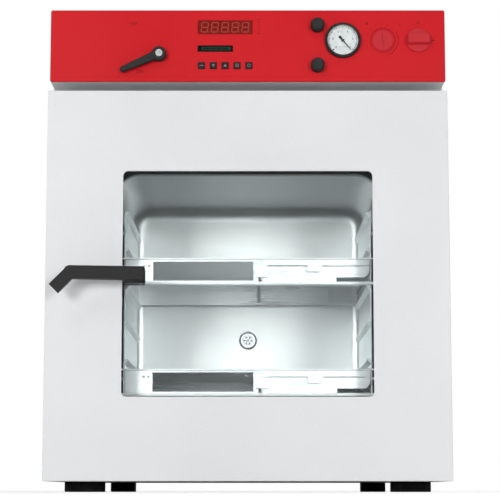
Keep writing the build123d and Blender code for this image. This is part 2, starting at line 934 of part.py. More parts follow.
# Thermostat dial: a disc with a coin slot, set in the fascia
dial_centre = on_panel(dial_place)
with BuildPart() as thermostat_dial:
    with BuildSketch(front_plane(-dial_proud)):
        with Locations(dial_centre):
            Circle(dial_radius)
    extrude(amount=-(dial_proud + fascia_thickness - key_clear))
    chamfer(thermostat_dial.faces().sort_by(Axis.Y)[0].edges(), dial_proud / 2)
    with BuildSketch(front_plane(-dial_proud)):
        with Locations(dial_centre):
            SlotOverall(dial_slot[0], dial_slot[1], rotation=dial_slot_angle)
    extrude(amount=-dial_slot[2], mode=Mode.SUBTRACT)
    with BuildSketch(front_plane(fascia_thickness - key_clear)):
        with Locations(dial_centre):
            Circle(knob_stem_radius)
    extrude(amount=-switch_block[1] / 2)
save(thermostat_dial, "thermostat_dial")


# Main switch knob: a disc with a grip across it, and its stem
switch_centre = on_panel(switch_place)
with BuildPart() as main_switch_knob:
    with BuildSketch(front_plane(-control_clear)):
        with Locations(switch_centre):
            Circle(switch_radius)
    extrude(amount=switch_base)
    chamfer(main_switch_knob.faces().sort_by(Axis.Y)[0].edges(), switch_edge)
    with BuildSketch(front_plane(-control_clear - switch_base)):
        with Locations(switch_centre):
            RectangleRounded(switch_grip[0], switch_grip[1], switch_grip_corner)
    extrude(amount=switch_grip[2], taper=switch_draft)
    chamfer(main_switch_knob.faces().sort_by(Axis.Y)[0].edges(), switch_edge)
    with BuildSketch(front_plane(-control_clear)):
        with Locations(switch_centre):
            Circle(knob_stem_radius)
    extrude(amount=-(control_clear + fascia_thickness + switch_block[1] / 2 - key_clear))
save(main_switch_knob, "main_switch_knob")


def elbow_pipe(points, radius):
    """Round pipe along straight runs that meet in mitred elbows."""
    route = [(x, door_face + depth, level) for x, depth, level in points]
    with BuildPart() as pipe:
        with BuildLine() as path:
            Polyline(*route)
        with BuildSketch(path.line ^ 0):
            Circle(radius)
        sweep(path=path.line, transition=Transition.RIGHT)
    return pipe.part


# Vacuum lines: valve to the rear flange, and valve to the tank's rear port
service_depth = insulation_rear + pipe_way
pipe_level = panel_bottom + pipe_way - vacuum_drop
port_level = chamber_bottom + port_height
drop_start = valve_back - vacuum_pipe_radius - stem_radius
with BuildPart() as vacuum_pipe:
    with BuildSketch(front_plane(valve_back)):
        with Locations((valve_x, valve_z)):
            Circle(vacuum_pipe_radius)
    extrude(amount=-(rear_panel_face - sheet - valve_back))
    add(
        elbow_pipe(
            [
                (valve_x, drop_start, valve_foot),
                (valve_x, drop_start, pipe_level),
                (valve_x, service_depth, pipe_level),
                (0, service_depth, pipe_level),
                (0, service_depth, port_level),
                (0, chamber_rear + chamber_wall, port_level),
            ],
            vacuum_pipe_radius,
        )
    )
save(vacuum_pipe, "vacuum_pipe")


# Gas lines: each needle valve to its nozzle, and the vent and gauge lines down to the tank
needle_back = fascia_thickness + needle_valve_length
gas_level = on_panel(knob_places["gas_knob"])[1]
with BuildPart() as gas_pipes:
    with BuildSketch(front_plane(needle_back)):
        with Locations(*[on_panel(place) for place in knob_places.values()]):
            Circle(gas_pipe_radius)
    extrude(amount=-(rear_panel_face - sheet - needle_back))
    with BuildSketch(Plane.XY.offset(chamber_top + chamber_wall)):
        with Locations((pipe_place, door_face + drop_depth)):
            Circle(branch_pipe_radius)
    extrude(amount=gas_level - chamber_top - chamber_wall)
    add(
        elbow_pipe(
            [
                (gauge_x, gauge_case_depth, gauge_centre[1]),
                (gauge_x, drop_depth, gauge_centre[1]),
                (gauge_x, drop_depth, chamber_top + chamber_wall),
            ],
            gas_pipe_radius,
        )
    )
save(gas_pipes, "gas_pipes")


# Vacuum flange on the rear panel, turned, with a clamping rim
with BuildPart() as vacuum_port:
    with BuildSketch(rear_axis_plane(valve_x, rear_panel_face, valve_z)):
        with BuildLine():
            Polyline(
                (0, port_bore),
                (0, port_rim[0]),
                (port_plate, port_rim[0]),
                (port_plate, port_tube),
                (port_reach - port_rim[1] - port_taper, port_tube),
                (port_reach - port_rim[1], port_rim[0]),
                (port_reach, port_rim[0]),
                (port_reach, port_bore),
                close=True,
            )
        make_face()
    revolve(axis=Axis((valve_x, 0, valve_z), (0, 1, 0)))
save(vacuum_port, "vacuum_port")


# Hose nozzles for air and gas on the rear panel
with BuildPart() as gas_nozzles:
    for knob_place in knob_places.values():
        nozzle_x, nozzle_z = on_panel(knob_place)
        with BuildSketch(rear_axis_plane(nozzle_x, rear_panel_face, nozzle_z)):
            with BuildLine():
                Polyline(
                    (0, nozzle_bore),
                    (0, nozzle_nut[0]),
                    (nozzle_nut[1], nozzle_nut[0]),
                    (nozzle_nut[1], nozzle_radius),
                    (port_reach, nozzle_radius),
                    (port_reach, nozzle_bore),
                    close=True,
                )
            make_face()
        revolve(axis=Axis((nozzle_x, 0, nozzle_z), (0, 1, 0)))
save(gas_nozzles, "gas_nozzles")


# Cable gland for the mains lead
gland_x, gland_z = gland_place
with BuildPart() as mains_gland:
    with BuildSketch(rear_axis_plane(gland_x, rear_panel_face, gland_z)):
        with BuildLine():
            Polyline(
                (0, gland_bore),
                (0, gland_radius),
                (gland_steps[0], gland_radius),
                (gland_steps[0], gland_nut_radius),
                (gland_steps[1], gland_nut_radius),
                (gland_steps[2], gland_bore + gland_lip),
                (gland_steps[2], gland_bore),
                close=True,
            )
        make_face()
    revolve(axis=Axis((gland_x, 0, gland_z), (0, 1, 0)))
save(mains_gland, "mains_gland")


# Feet: four rubber blocks under the base plate
front_foot_x = body_width / 2 - front_foot_inset
rear_foot_x = body_width / 2 - rear_foot_inset
front_foot_y = door_face + frame_back + foot_setback + front_foot[1] / 2
rear_foot_y = door_face + body_back - foot_setback - rear_foot[1] / 2
with BuildPart() as feet:
    with BuildSketch(Plane.XY):
        with Locations((front_foot_x, front_foot_y), (-front_foot_x, front_foot_y)):
            RectangleRounded(front_foot[0], front_foot[1], foot_corner)
        with Locations((rear_foot_x, rear_foot_y), (-rear_foot_x, rear_foot_y)):
            RectangleRounded(rear_foot[0], rear_foot[1], foot_corner)
    extrude(amount=foot_height)
    chamfer(feet.faces().group_by(Axis.Z)[0].edges(), foot_corner / 3)
save(feet, "feet")


# Hinges: an arm on the body reaches through a slot into the door, to a pin in its bracket
hinge_x = body_width / 2 - hinge_pin_inset
hinge_levels = (door_bottom + hinge_inset, door_top - hinge_inset)
plate_front = body_front - hinge_plate[2]
with BuildPart() as hinge_arms:
    for level in hinge_levels:
        with BuildSketch(level_plane(level - hinge_arm_height / 2)):
            with Locations((hinge_x, hinge_pin_setback)):
                Circle(hinge_eye_radius)
                Rectangle(
                    hinge_arm_width,
                    plate_front - hinge_pin_setback,
                    align=(Align.CENTER, Align.MIN),
                )
                Circle(hinge_pin_radius + hinge_fit, mode=Mode.SUBTRACT)
        extrude(amount=hinge_arm_height)
        with BuildSketch(front_plane(plate_front)):
            with Locations((hinge_x, level)):
                RectangleRounded(hinge_plate[0], hinge_plate[1], foot_corner)
        extrude(amount=-hinge_plate[2])
save(hinge_arms, "hinge_arms")


# Brackets inside the door: two cheeks, a web and the pin between them
cheek_inner = hinge_arm_height / 2 + seal_gap
bracket_half = hinge_eye_radius + bracket_sheet
bracket_front = hinge_pin_setback - hinge_eye_radius - 2 * bracket_sheet
bracket_right = body_width / 2 - door_sheet
with BuildPart() as hinge_brackets:
    for level in hinge_levels:
        for side in (1, -1):
            with BuildSketch(level_plane(level + side * cheek_inner)):
                with Locations((bracket_right, bracket_front)):
                    Rectangle(
                        bracket_right - hinge_x + bracket_half,
                        bracket_depth,
                        align=(Align.MAX, Align.MIN),
                    )
            extrude(amount=side * bracket_sheet)
        with BuildSketch(level_plane(level - cheek_inner)):
            with Locations((bracket_right, bracket_front)):
                Rectangle(
                    bracket_right - hinge_x + bracket_half,
                    bracket_sheet,
                    align=(Align.MAX, Align.MIN),
                )
            with Locations((hinge_x, hinge_pin_setback)):
                Circle(hinge_pin_radius)
        extrude(amount=2 * cheek_inner)
save(hinge_brackets, "hinge_brackets")


def cut_hinge_slots(front, back):
    """Cut the ways of the hinge arms out of the door's piece that is being built."""
    for level in hinge_levels:
        with Locations((hinge_x - hinge_eye_radius, door_face + front, level)):
            Box(
                body_width / 2 - hinge_x + 2 * hinge_eye_radius,
                back - front,
                2 * cheek_inner,
                align=(Align.MIN, Align.MIN, Align.CENTER),
                mode=Mode.SUBTRACT,
            )


# Door shell: folded pan with the window opening in front and a return flange behind
with BuildPart() as door_shell:
    with BuildSketch(front_plane(0)):
        with Locations((0, door_mid)):
            RectangleRounded(body_width, door_height, door_corner)
    extrude(amount=-door_depth)
    fillet(door_shell.faces().sort_by(Axis.Y)[0].edges(), door_edge)
    with BuildSketch(front_plane(door_sheet)):
        with Locations((0, door_mid)):
            Rectangle(body_width - 2 * door_sheet, door_height - 2 * door_sheet)
    extrude(amount=-(door_depth - 2 * door_sheet), mode=Mode.SUBTRACT)
    with BuildSketch(front_plane(door_depth)):
        with Locations((0, door_mid)):
            Rectangle(
                body_width - 2 * (door_sheet + door_flange),
                door_height - 2 * (door_sheet + door_flange),
            )
    extrude(amount=door_sheet, mode=Mode.SUBTRACT)
    with BuildSketch(front_plane(0)):
        with Locations((0, window_mid)):
            RectangleRounded(window_width, window_height, window_corner)
    extrude(amount=-door_sheet, mode=Mode.SUBTRACT)
    cut_hinge_slots(bracket_front + bracket_sheet, door_depth)
save(door_shell, "door_shell")


# Outer pane behind the door's skin, with the cut-out for the handle's bearing
bearing_left = spindle_x - bearing_width / 2
with BuildPart() as window_glass:
    with BuildSketch(front_plane(door_sheet)):
        with Locations((0, window_mid)):
            RectangleRounded(
                window_width + 2 * pane_lap, window_height + 2 * pane_lap, window_corner
            )
        with Locations((spindle_x, handle_level)):
            Rectangle(
                bearing_width + 2 * bearing_gap, handle_bar + 2 * bearing_gap, mode=Mode.SUBTRACT
            )
    extrude(amount=-pane_thickness)
save(window_glass, "window_glass")


# Surround: the tube between the panes, with the rear flange that carries the leaf springs
surround_width = window_width + 2 * surround_clear
surround_height = window_height + 2 * surround_clear
latch_front = bearing_depth + latch_gap
latch_sweep = handle_turn + 12
with BuildPart() as window_surround:
    with BuildSketch(front_plane(surround_front)):
        with Locations((0, window_mid)):
            RectangleRounded(
                surround_width + 2 * door_sheet,
                surround_height + 2 * door_sheet,
                window_corner + door_sheet,
            )
    extrude(amount=-surround_depth)
    with BuildSketch(front_plane(surround_back)):
        with Locations((0, chamber_mid)):
            Rectangle(
                surround_width + 2 * surround_flange,
                chamber_height + 2 * (vacuum_pane_lap + surround_flange / 4),
            )
    extrude(amount=door_sheet)
    with BuildSketch(front_plane(surround_front)):
        with Locations((0, window_mid)):
            RectangleRounded(surround_width, surround_height, window_corner)
    extrude(amount=-surround_depth, mode=Mode.SUBTRACT)
    with BuildSketch(front_plane(latch_front - latch_gap / 2)):
        with Locations((-surround_width / 2, handle_level - 1.5 * latch_eye)):
            Rectangle(
                2 * latch_eye, latch_radius * sin(radians(latch_sweep)), align=(Align.MAX, Align.MIN)
            )
    extrude(amount=-(latch_sheet + latch_gap), mode=Mode.SUBTRACT)
save(window_surround, "window_surround")


# Vacuum pane: the thick plate that the seal closes on
with BuildPart() as vacuum_glass:
    with BuildSketch(front_plane(vacuum_pane_front)):
        with Locations((0, chamber_mid)):
            RectangleRounded(
                2 * pane_half, chamber_height + 2 * vacuum_pane_lap, vacuum_pane_corner
            )
    extrude(amount=-vacuum_pane_thickness)
    chamfer(vacuum_glass.faces().sort_by(Axis.Y)[0].edges(), sheet)
save(vacuum_glass, "vacuum_glass")


# Leaf springs that press the vacuum pane off the surround's flange
spring_x = pane_half - spring_width
spring_rows = (chamber_mid - chamber_height / 3, chamber_mid, chamber_mid + chamber_height / 3)
spring_places = [(side * spring_x, row) for side in (1, -1) for row in spring_rows]
with BuildPart() as pane_springs:
    for spring_column, spring_row in spring_places:
        spring_origin = (
            spring_column - spring_width / 2,
            door_face + surround_back + spring_sheet / 2,
            spring_row,
        )
        with BuildSketch(Plane(origin=spring_origin, x_dir=(0, 1, 0), z_dir=(1, 0, 0))):
            with BuildLine():
                Polyline(
                    (0, -spring_length / 2),
                    (0, -spring_length / 3),
                    (spring_height - spring_sheet, -spring_length / 6),
                    (spring_height - spring_sheet, spring_length / 6),
                    (0, spring_length / 3),
                    (0, spring_length / 2),
                )
                offset(amount=spring_sheet / 2, kind=Kind.INTERSECTION)
            make_face()
        extrude(amount=spring_width)
save(pane_springs, "pane_springs")


# Liner: closes the door behind, with a collar round the vacuum pane and the latch pin's slot
liner_front = liner_back - liner_sheet
liner_width = body_width - 2 * (door_sheet + control_clear)
liner_height = door_height - 2 * (door_sheet + control_clear)
aperture_width = 2 * (pane_half + liner_clear)
aperture_height = chamber_height + 2 * (vacuum_pane_lap + liner_clear)
latch_path = CenterArc(
    (spindle_x, handle_level),
    latch_radius,
    180 - handle_turn - latch_over_travel,
    handle_turn + 2 * latch_over_travel,
)
latch_way = 2 * (latch_pin_radius + latch_pin_clear)
with BuildPart() as door_liner:
    with BuildSketch(front_plane(liner_front)):
        with Locations((0, door_mid)):
            Rectangle(liner_width, liner_height)
        with Locations((0, chamber_mid)):
            RectangleRounded(
                aperture_width, aperture_height, vacuum_pane_corner, mode=Mode.SUBTRACT
            )
        SlotArc(latch_path, latch_way, mode=Mode.SUBTRACT)
    extrude(amount=-liner_sheet)
    with BuildSketch(front_plane(surround_back)):
        with Locations((0, chamber_mid)):
            RectangleRounded(
                aperture_width + 2 * liner_sheet,
                aperture_height + 2 * liner_sheet,
                vacuum_pane_corner + liner_sheet,
            )
            RectangleRounded(
                aperture_width, aperture_height, vacuum_pane_corner, mode=Mode.SUBTRACT
            )
    extrude(amount=-(liner_front - surround_back))
    cut_hinge_slots(liner_front, liner_back)
save(door_liner, "door_liner")


# Clips that keep the vacuum pane from falling out of the open door
clip_x = pane_half + liner_clear
clip_places = [(side, row) for side in (1, -1) for row in spring_rows]
with BuildPart() as glass_clips:
    for clip_side, clip_row in clip_places:
        with BuildSketch(level_plane(clip_row - clip_length / 2)):
            with BuildLine():
                Polyline(
                    (clip_side * (clip_x + clip_foot), liner_back),
                    (clip_side * (clip_x - liner_clear / 4), liner_back),
                    (clip_side * (clip_x - liner_clear / 4), vacuum_pane_back),
                    (clip_side * (pane_half - clip_lip), vacuum_pane_back),
                    (clip_side * (pane_half - clip_lip), vacuum_pane_back + sheet),
                    (clip_side * (clip_x + sheet), vacuum_pane_back + sheet),
                    (clip_side * (clip_x + sheet), liner_back + sheet),
                    (clip_side * (clip_x + clip_foot), liner_back + sheet),
                    close=True,
                )
            make_face()
        extrude(amount=clip_length)
save(glass_clips, "glass_clips")


# Bearing block of the handle, let into the window and carried by the surround's side
with BuildPart() as handle_bearing:
    with BuildSketch(front_plane(-bearing_front)):
        with Locations((spindle_x, handle_level)):
            RectangleRounded(bearing_width, handle_bar, handle_edge)
    extrude(amount=-(bearing_front + bearing_depth))
    with BuildSketch(front_plane(surround_front + bearing_gap)):
        with Locations((spindle_x, handle_level)):
            Rectangle(
                surround_width / 2 + spindle_x, handle_bar, align=(Align.MAX, Align.CENTER)
            )
    extrude(amount=-(bearing_depth - surround_front - bearing_gap))
    with BuildSketch(front_plane(-bearing_front)):
        with Locations((spindle_x, handle_level)):
            Circle(spindle_radius + spindle_fit)
    extrude(amount=-(bearing_front + bearing_depth), mode=Mode.SUBTRACT)
save(handle_bearing, "handle_bearing")


# Handle: the bar's outline from the front, cut to its bent outline from above
handle_back = bearing_front + bearing_gap
handle_right = spindle_x + handle_end
bend_x = spindle_x - handle_bend
tip_x = bend_x - handle_tip - handle_bar
grip_back = handle_front - handle_thickness
hub_back = handle_stand_off - handle_thickness
socket_depth = (handle_stand_off - handle_back) * spindle_share
with BuildPart() as door_handle:
    with BuildSketch(front_plane(-handle_back)):
        with Locations((handle_right, handle_level)):
            Rectangle(handle_right - bend_x, handle_bar, align=(Align.MAX, Align.CENTER))
        with Locations((bend_x, handle_level)):
            Circle(handle_bar / 2)
            Rectangle(
                handle_tip, handle_tip_width, rotation=45, align=(Align.MAX, Align.CENTER)
            )
    extrude(amount=handle_front - handle_back)
    with BuildSketch(level_plane(handle_level - handle_tip - handle_bar)):
        with BuildLine():
            Polyline(
                (handle_right, -handle_back),
                (handle_right, -handle_stand_off),
                (bend_x, -handle_front),
                (tip_x, -handle_front),
                (tip_x, -grip_back),
                (bend_x, -grip_back),
                (bearing_left, -hub_back),
                (bearing_left, -handle_back),
                close=True,
            )
        make_face()
    extrude(amount=2 * (handle_tip + handle_bar), mode=Mode.INTERSECT)
    fillet(door_handle.edges().filter_by(Axis.Z), handle_edge)
    with BuildSketch(front_plane(-handle_back)):
        with Locations((spindle_x, handle_level)):
            Circle(spindle_radius + spindle_fit)
    extrude(amount=socket_depth, mode=Mode.SUBTRACT)
save(door_handle, "door_handle")


# Latch: spindle, arm and pin in one piece behind the outer pane
pin_x = spindle_x - latch_radius
pin_end = body_front - striker_gap
with BuildPart() as latch_arm:
    with BuildSketch(front_plane(latch_front)):
        with Locations((spindle_x, handle_level)):
            Circle(spindle_radius)
    extrude(amount=latch_front + handle_back + socket_depth)
    with BuildSketch(front_plane(latch_front)):
        with Locations((spindle_x, handle_level), (pin_x, handle_level)):
            Circle(latch_eye)
        make_hull()
    extrude(amount=-latch_sheet)
    with BuildSketch(front_plane(latch_front + latch_sheet)):
        with Locations((pin_x, handle_level)):
            Circle(latch_pin_radius)
    extrude(amount=-(pin_end - latch_front - latch_sheet))
save(latch_arm, "latch_arm")


# Cam plate on the body that takes the latch pin
striker_top = handle_level + latch_radius * sin(radians(handle_turn)) + striker_margin
striker_bottom = handle_level - striker_margin
striker_right = -(chamber_half + flange_width + striker_gap)
striker_left = pin_x - striker_margin
striker_front = door_depth + striker_gap
with BuildPart() as door_striker:
    with BuildSketch(front_plane(striker_front)):
        with Locations(
            ((striker_left + striker_right) / 2, (striker_bottom + striker_top) / 2)
        ):
            RectangleRounded(
                striker_right - striker_left, striker_top - striker_bottom, door_corner
            )
        SlotArc(latch_path, latch_way, mode=Mode.SUBTRACT)
    extrude(amount=-(body_front - striker_front))
save(door_striker, "door_striker")


# Levels and places inside a rack, counted from the rail that it lies on
plate_under = rack_height - rack_plate
slide_top = plate_under - rack_slip
slide_under = slide_top - rack_plate
slide_left = rack_split + rack_travel + 2 * rack_side_gap
window_left = rack_window_side - rack_half
window_right = rack_split - rack_window_gap
clamp_x = rack_split - rack_bar_depth
lever_x = clamp_x + lever_inset
lever_z = slide_under - lever_bar[0] - lever_drop
rack_back = rack_front + rack_depth
slide_right = rack_half - rack_side_gap / 2
slide_foot_left = slide_right - slide_foot_width
lever_length = slide_right - lever_end_gap - lever_x
rod_left = lever_x + lever_length + rack_travel
rod_length = slide_right - rod_end_gap - rod_left
clamp_front = rack_front - clamp_depth
lever_back = clamp_front - lever_gap


def box_between(low, high):
    """Block between two corners, each given as x, depth and height."""
    size = [b - a for a, b in zip(low, high)]
    with Locations((low[0], door_face + low[1], low[2])):
        Box(*size, align=(Align.MIN, Align.MIN, Align.MIN))


def rack_frame(level):
    """Fixed half of a rack: left plate, front web with its window, bars, hem and clamp."""
    with BuildPart() as frame:
        with BuildSketch(front_plane(rack_front)):
            with Locations((-rack_half, level)):
                Rectangle(rack_half + rack_split, plate_under, align=(Align.MIN, Align.MIN))
            with Locations((window_left, level + rack_window_sill)):
                Rectangle(
                    window_right - window_left,
                    plate_under - rack_window_sill - rack_window_head,
                    align=(Align.MIN, Align.MIN),
                    mode=Mode.SUBTRACT,
                )
        extrude(amount=-rack_sheet)
        box_between(
            (-rack_half, rack_front, level + plate_under),
            (rack_split, rack_back, level + rack_height),
        )
        for bar_low, bar_high in ((0, rack_bar_height), (plate_under, rack_height)):
            box_between(
                (-rack_bar_half, rack_front - rack_bar_depth, level + bar_low),
                (rack_bar_half, rack_front, level + bar_high),
            )
        box_between(
            (-rack_half, rack_front, level),
            (rack_half, rack_front + rack_hem, level + rack_hem_sheet),
        )
        box_between(
            (-rack_half, rack_front, level),
            (-rack_half + rack_sheet, rack_back, level + plate_under),
        )
        box_between(
            (-rack_half, rack_back - rack_sheet, level),
            (rack_split, rack_back, level + plate_under),
        )
        box_between(
            (-rack_half, rack_back - rack_bar_depth, level),
            (rack_half, rack_back, level + rack_bar_height),
        )
        with BuildSketch(front_plane(rack_front)):
            with Locations((clamp_x, level + plate_under - rack_window_head)):
                Rectangle(clamp_width, clamp_height, align=(Align.MIN, Align.MAX))
        extrude(amount=clamp_depth)
        with BuildSketch(front_plane(clamp_front)):
            with Locations((lever_x, level + lever_z)):
                Circle(knob_stem_radius + hinge_fit)
        extrude(amount=-clamp_depth, mode=Mode.SUBTRACT)
    return frame


def rack_slide(level):
    """Sliding half of a rack: right plate, web, short side flange, rear foot and push rod."""
    with BuildPart() as slide:
        with BuildSketch(front_plane(rack_front)):
            with BuildLine():
                Polyline(
                    (slide_left, level + rack_hem_sheet),
                    (slide_foot_left, level + rack_hem_sheet),
                    (slide_foot_left, level + slide_step_rise),
                    (slide_right - rack_window_sill, level + slide_step_rise),
                    (slide_right, level + slide_top - slide_side_height),
                    (slide_right, level + slide_top),
                    (slide_left, level + slide_top),
                    close=True,
                )
            make_face()
        extrude(amount=-rack_sheet)
        box_between(
            (rack_split - rack_overlap, rack_front + rack_sheet, level + slide_under),
            (slide_right, rack_back - rack_bar_depth, level + slide_top),
        )
        box_between(
            (slide_right - rack_sheet, rack_front, level + slide_top - slide_side_height),
            (slide_right, rack_back - rack_bar_depth, level + slide_top),
        )
        box_between(
            (slide_left, rack_back - rack_bar_depth, level + rack_bar_height),
            (slide_foot_left, rack_back - rack_sheet, level + slide_top),
        )
        with BuildSketch(Plane.YZ.offset(rod_left)):
            with Locations((door_face + rack_front, level + lever_z - rack_travel / 2)):
                Circle(rod_radius)
        extrude(amount=rod_length)
    return slide


def tension_lever(level):
    """Lever that pushes the rack's halves apart: pin, bar, grip and round head."""
    lever_front = lever_back - lever_bar[1]
    with BuildPart() as lever:
        with BuildSketch(front_plane(lever_back)):
            with Locations((lever_x, level + lever_z)):
                Circle(lever_bar[0])
                Rectangle(lever_length, lever_bar[0], align=(Align.MIN, Align.CENTER))
            with Locations((lever_x + lever_length, level + lever_z)):
                Rectangle(lever_grip[0], lever_grip[1], align=(Align.MAX, Align.MAX))
        extrude(amount=lever_bar[1])
        fillet(lever.edges().filter_by(Axis.Y).group_by(Axis.Z)[0], lever_grip[1] / 4)
        with BuildSketch(front_plane(lever_front)):
            with Locations((lever_x, level + lever_z)):
                Circle(lever_knob_radius)
        extrude(amount=lever_knob_height)
        with BuildSketch(front_plane(lever_back)):
            with Locations((lever_x, level + lever_z)):
                Circle(knob_stem_radius)
        extrude(amount=-(rack_front - lever_back - rack_slip))
    return lever


for rack_name, rail_number in rack_rails.items():
    rack_level = rail_level(rail_number)
    save(rack_frame(rack_level), f"{rack_name}_rack_frame")
    save(rack_slide(rack_level), f"{rack_name}_rack_slide")
    save(tension_lever(rack_level), f"{rack_name}_tension_lever")
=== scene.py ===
"""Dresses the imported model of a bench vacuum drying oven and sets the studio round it.

Lengths are in mm and angles in degrees, unless a line names another unit.
"""

from __future__ import annotations

import logging
import math
from dataclasses import dataclass
from enum import Enum
from functools import cache

import bmesh
import bpy
from mathutils import Euler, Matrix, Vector


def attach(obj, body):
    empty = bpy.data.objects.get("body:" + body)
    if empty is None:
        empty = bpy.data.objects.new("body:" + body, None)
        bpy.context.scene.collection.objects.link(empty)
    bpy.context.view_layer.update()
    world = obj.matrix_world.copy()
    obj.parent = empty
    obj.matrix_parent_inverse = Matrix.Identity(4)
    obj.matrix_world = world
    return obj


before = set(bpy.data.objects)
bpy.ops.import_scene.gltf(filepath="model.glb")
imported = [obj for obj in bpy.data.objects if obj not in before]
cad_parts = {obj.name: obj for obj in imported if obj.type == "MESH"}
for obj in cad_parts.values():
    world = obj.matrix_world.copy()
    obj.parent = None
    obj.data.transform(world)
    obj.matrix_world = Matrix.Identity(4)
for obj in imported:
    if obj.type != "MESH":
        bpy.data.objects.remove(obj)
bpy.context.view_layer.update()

LOG = logging.getLogger("vacuum_oven")

Colour = tuple[float, float, float]
Place = tuple[float, float, float]
Point = tuple[float, float]
Outline = list[Point]
Socket = bpy.types.NodeSocket
Node = bpy.types.Node
Tree = bpy.types.NodeTree

MM = 0.001
DOOR_FACE = -254.0
MIX_FIRST = 6
MIX_SECOND = 7
MIX_COLOUR = 2


def linear(red: int, green: int, blue: int) -> Colour:
    """Turns a screen colour into the linear colour that a shader takes.

    Args:
        red: Red, 0 to 255.
        green: Green, 0 to 255.
        blue: Blue, 0 to 255.

    Returns:
        The linear colour.
    """
    shares = (value / 255 for value in (red, green, blue))
    made = [s / 12.92 if s <= 0.04045 else ((s + 0.055) / 1.055) ** 2.4 for s in shares]
    return made[0], made[1], made[2]


def scaled(colour: Colour, factor: float) -> Colour:
    """Makes a colour lighter or darker by a factor, kept inside 0 to 1.

    Args:
        colour: The linear colour.
        factor: The factor.

    Returns:
        The scaled colour.
    """
    made = [min(1.0, share * factor) for share in colour]
    return made[0], made[1], made[2]


class Axis(Enum):
    """Direction of a metal's grain."""

    X = (0.04, 1.0, 1.0)
    Y = (1.0, 0.04, 1.0)
    Z = (1.0, 1.0, 0.04)


class Effect(Enum):
    """Node groups that several finishes share."""

    GRAIN = "surface_grain"
    BRUSH = "brushed_grain"
    HAZE = "handling_haze"
    DUST = "settled_dust"


@dataclass
class NodeSheet:
    """A node tree that is being filled in, with short calls for its nodes and wires."""

    tree: Tree

    def feed(self, node: Node, inputs: dict[str | int, object]) -> None:
        """Joins sockets to a node's inputs, and sets the inputs that get no socket.

        Args:
            node: The node.
            inputs: A socket or a value for each input's name or place.
        """
        for name, value in inputs.items():
            if isinstance(value, Socket):
                self.tree.links.new(value, node.inputs[name])
            else:
                node.inputs[name].default_value = value

    def node(
        self, kind: str, inputs: dict[str | int, object] | None = None, **values: object
    ) -> Node:
        """Adds a node.

        Args:
            kind: The node's type name.
            inputs: A socket or a value for each input's name or place.
            **values: Properties of the node by name.

        Returns:
            The new node.
        """
        made = self.tree.nodes.new(kind)
        for name, value in values.items():
            setattr(made, name, value)
        self.feed(made, inputs or {})
        return made

    def sum(self, operation: str, *terms: float | Socket) -> Socket:
        """Adds a Math node.

        Args:
            operation: The Math node's operation.
            *terms: Its sockets or numbers.

        Returns:
            The node's output.
        """
        inputs = dict(enumerate(terms))
        return self.node("ShaderNodeMath", inputs, operation=operation).outputs[0]

    def range(
        self, value: Socket, low: float, high: float, to_low: float = 0.0, to_high: float = 1.0
    ) -> Socket:
        """Maps a value from one range to another, clamped.

        Args:
            value: The socket to map.
            low: Start of its range.
            high: End of its range.
            to_low: Start of the new range.
            to_high: End of the new range.

        Returns:
            The mapped value.
        """
        inputs = dict(enumerate((value, low, high, to_low, to_high)))
        return self.node("ShaderNodeMapRange", inputs).outputs[0]

    def noise(self, place: Socket, scale: float | Socket, **inputs: float) -> Socket:
        """Adds a Noise texture.

        Args:
            place: The point that it is read at.
            scale: Its scale.
            **inputs: Its other inputs by name.

        Returns:
            Its value, 0 to 1.
        """
        made = self.node("ShaderNodeTexNoise", {"Vector": place, "Scale": scale, **inputs})
        return made.outputs["Fac"]

    def blend(self, share: Socket, first: Colour | Socket, second: Colour) -> Socket:
        """Blends a colour or a socket's colour with a second colour by a mask.

        Args:
            share: The mask: 0 gives the first and 1 the second.
            first: A linear colour or a socket.
            second: A linear colour.

        Returns:
            The blended colour.
        """
        start = first if isinstance(first, Socket) else (*first, 1)
        inputs = {0: share, MIX_FIRST: start, MIX_SECOND: (*second, 1)}
        return self.node("ShaderNodeMix", inputs, data_type="RGBA").outputs[MIX_COLOUR]

    def shade(self, share: Socket, colour: Colour, low: float, high: float) -> Socket:
        """Varies how light a colour is by a mask.

        Args:
            share: The mask.
            colour: The linear colour.
            low: The colour's factor where the mask is 0.
            high: The colour's factor where the mask is 1.

        Returns:
            The varied colour.
        """
        return self.blend(share, scaled(colour, low), scaled(colour, high))


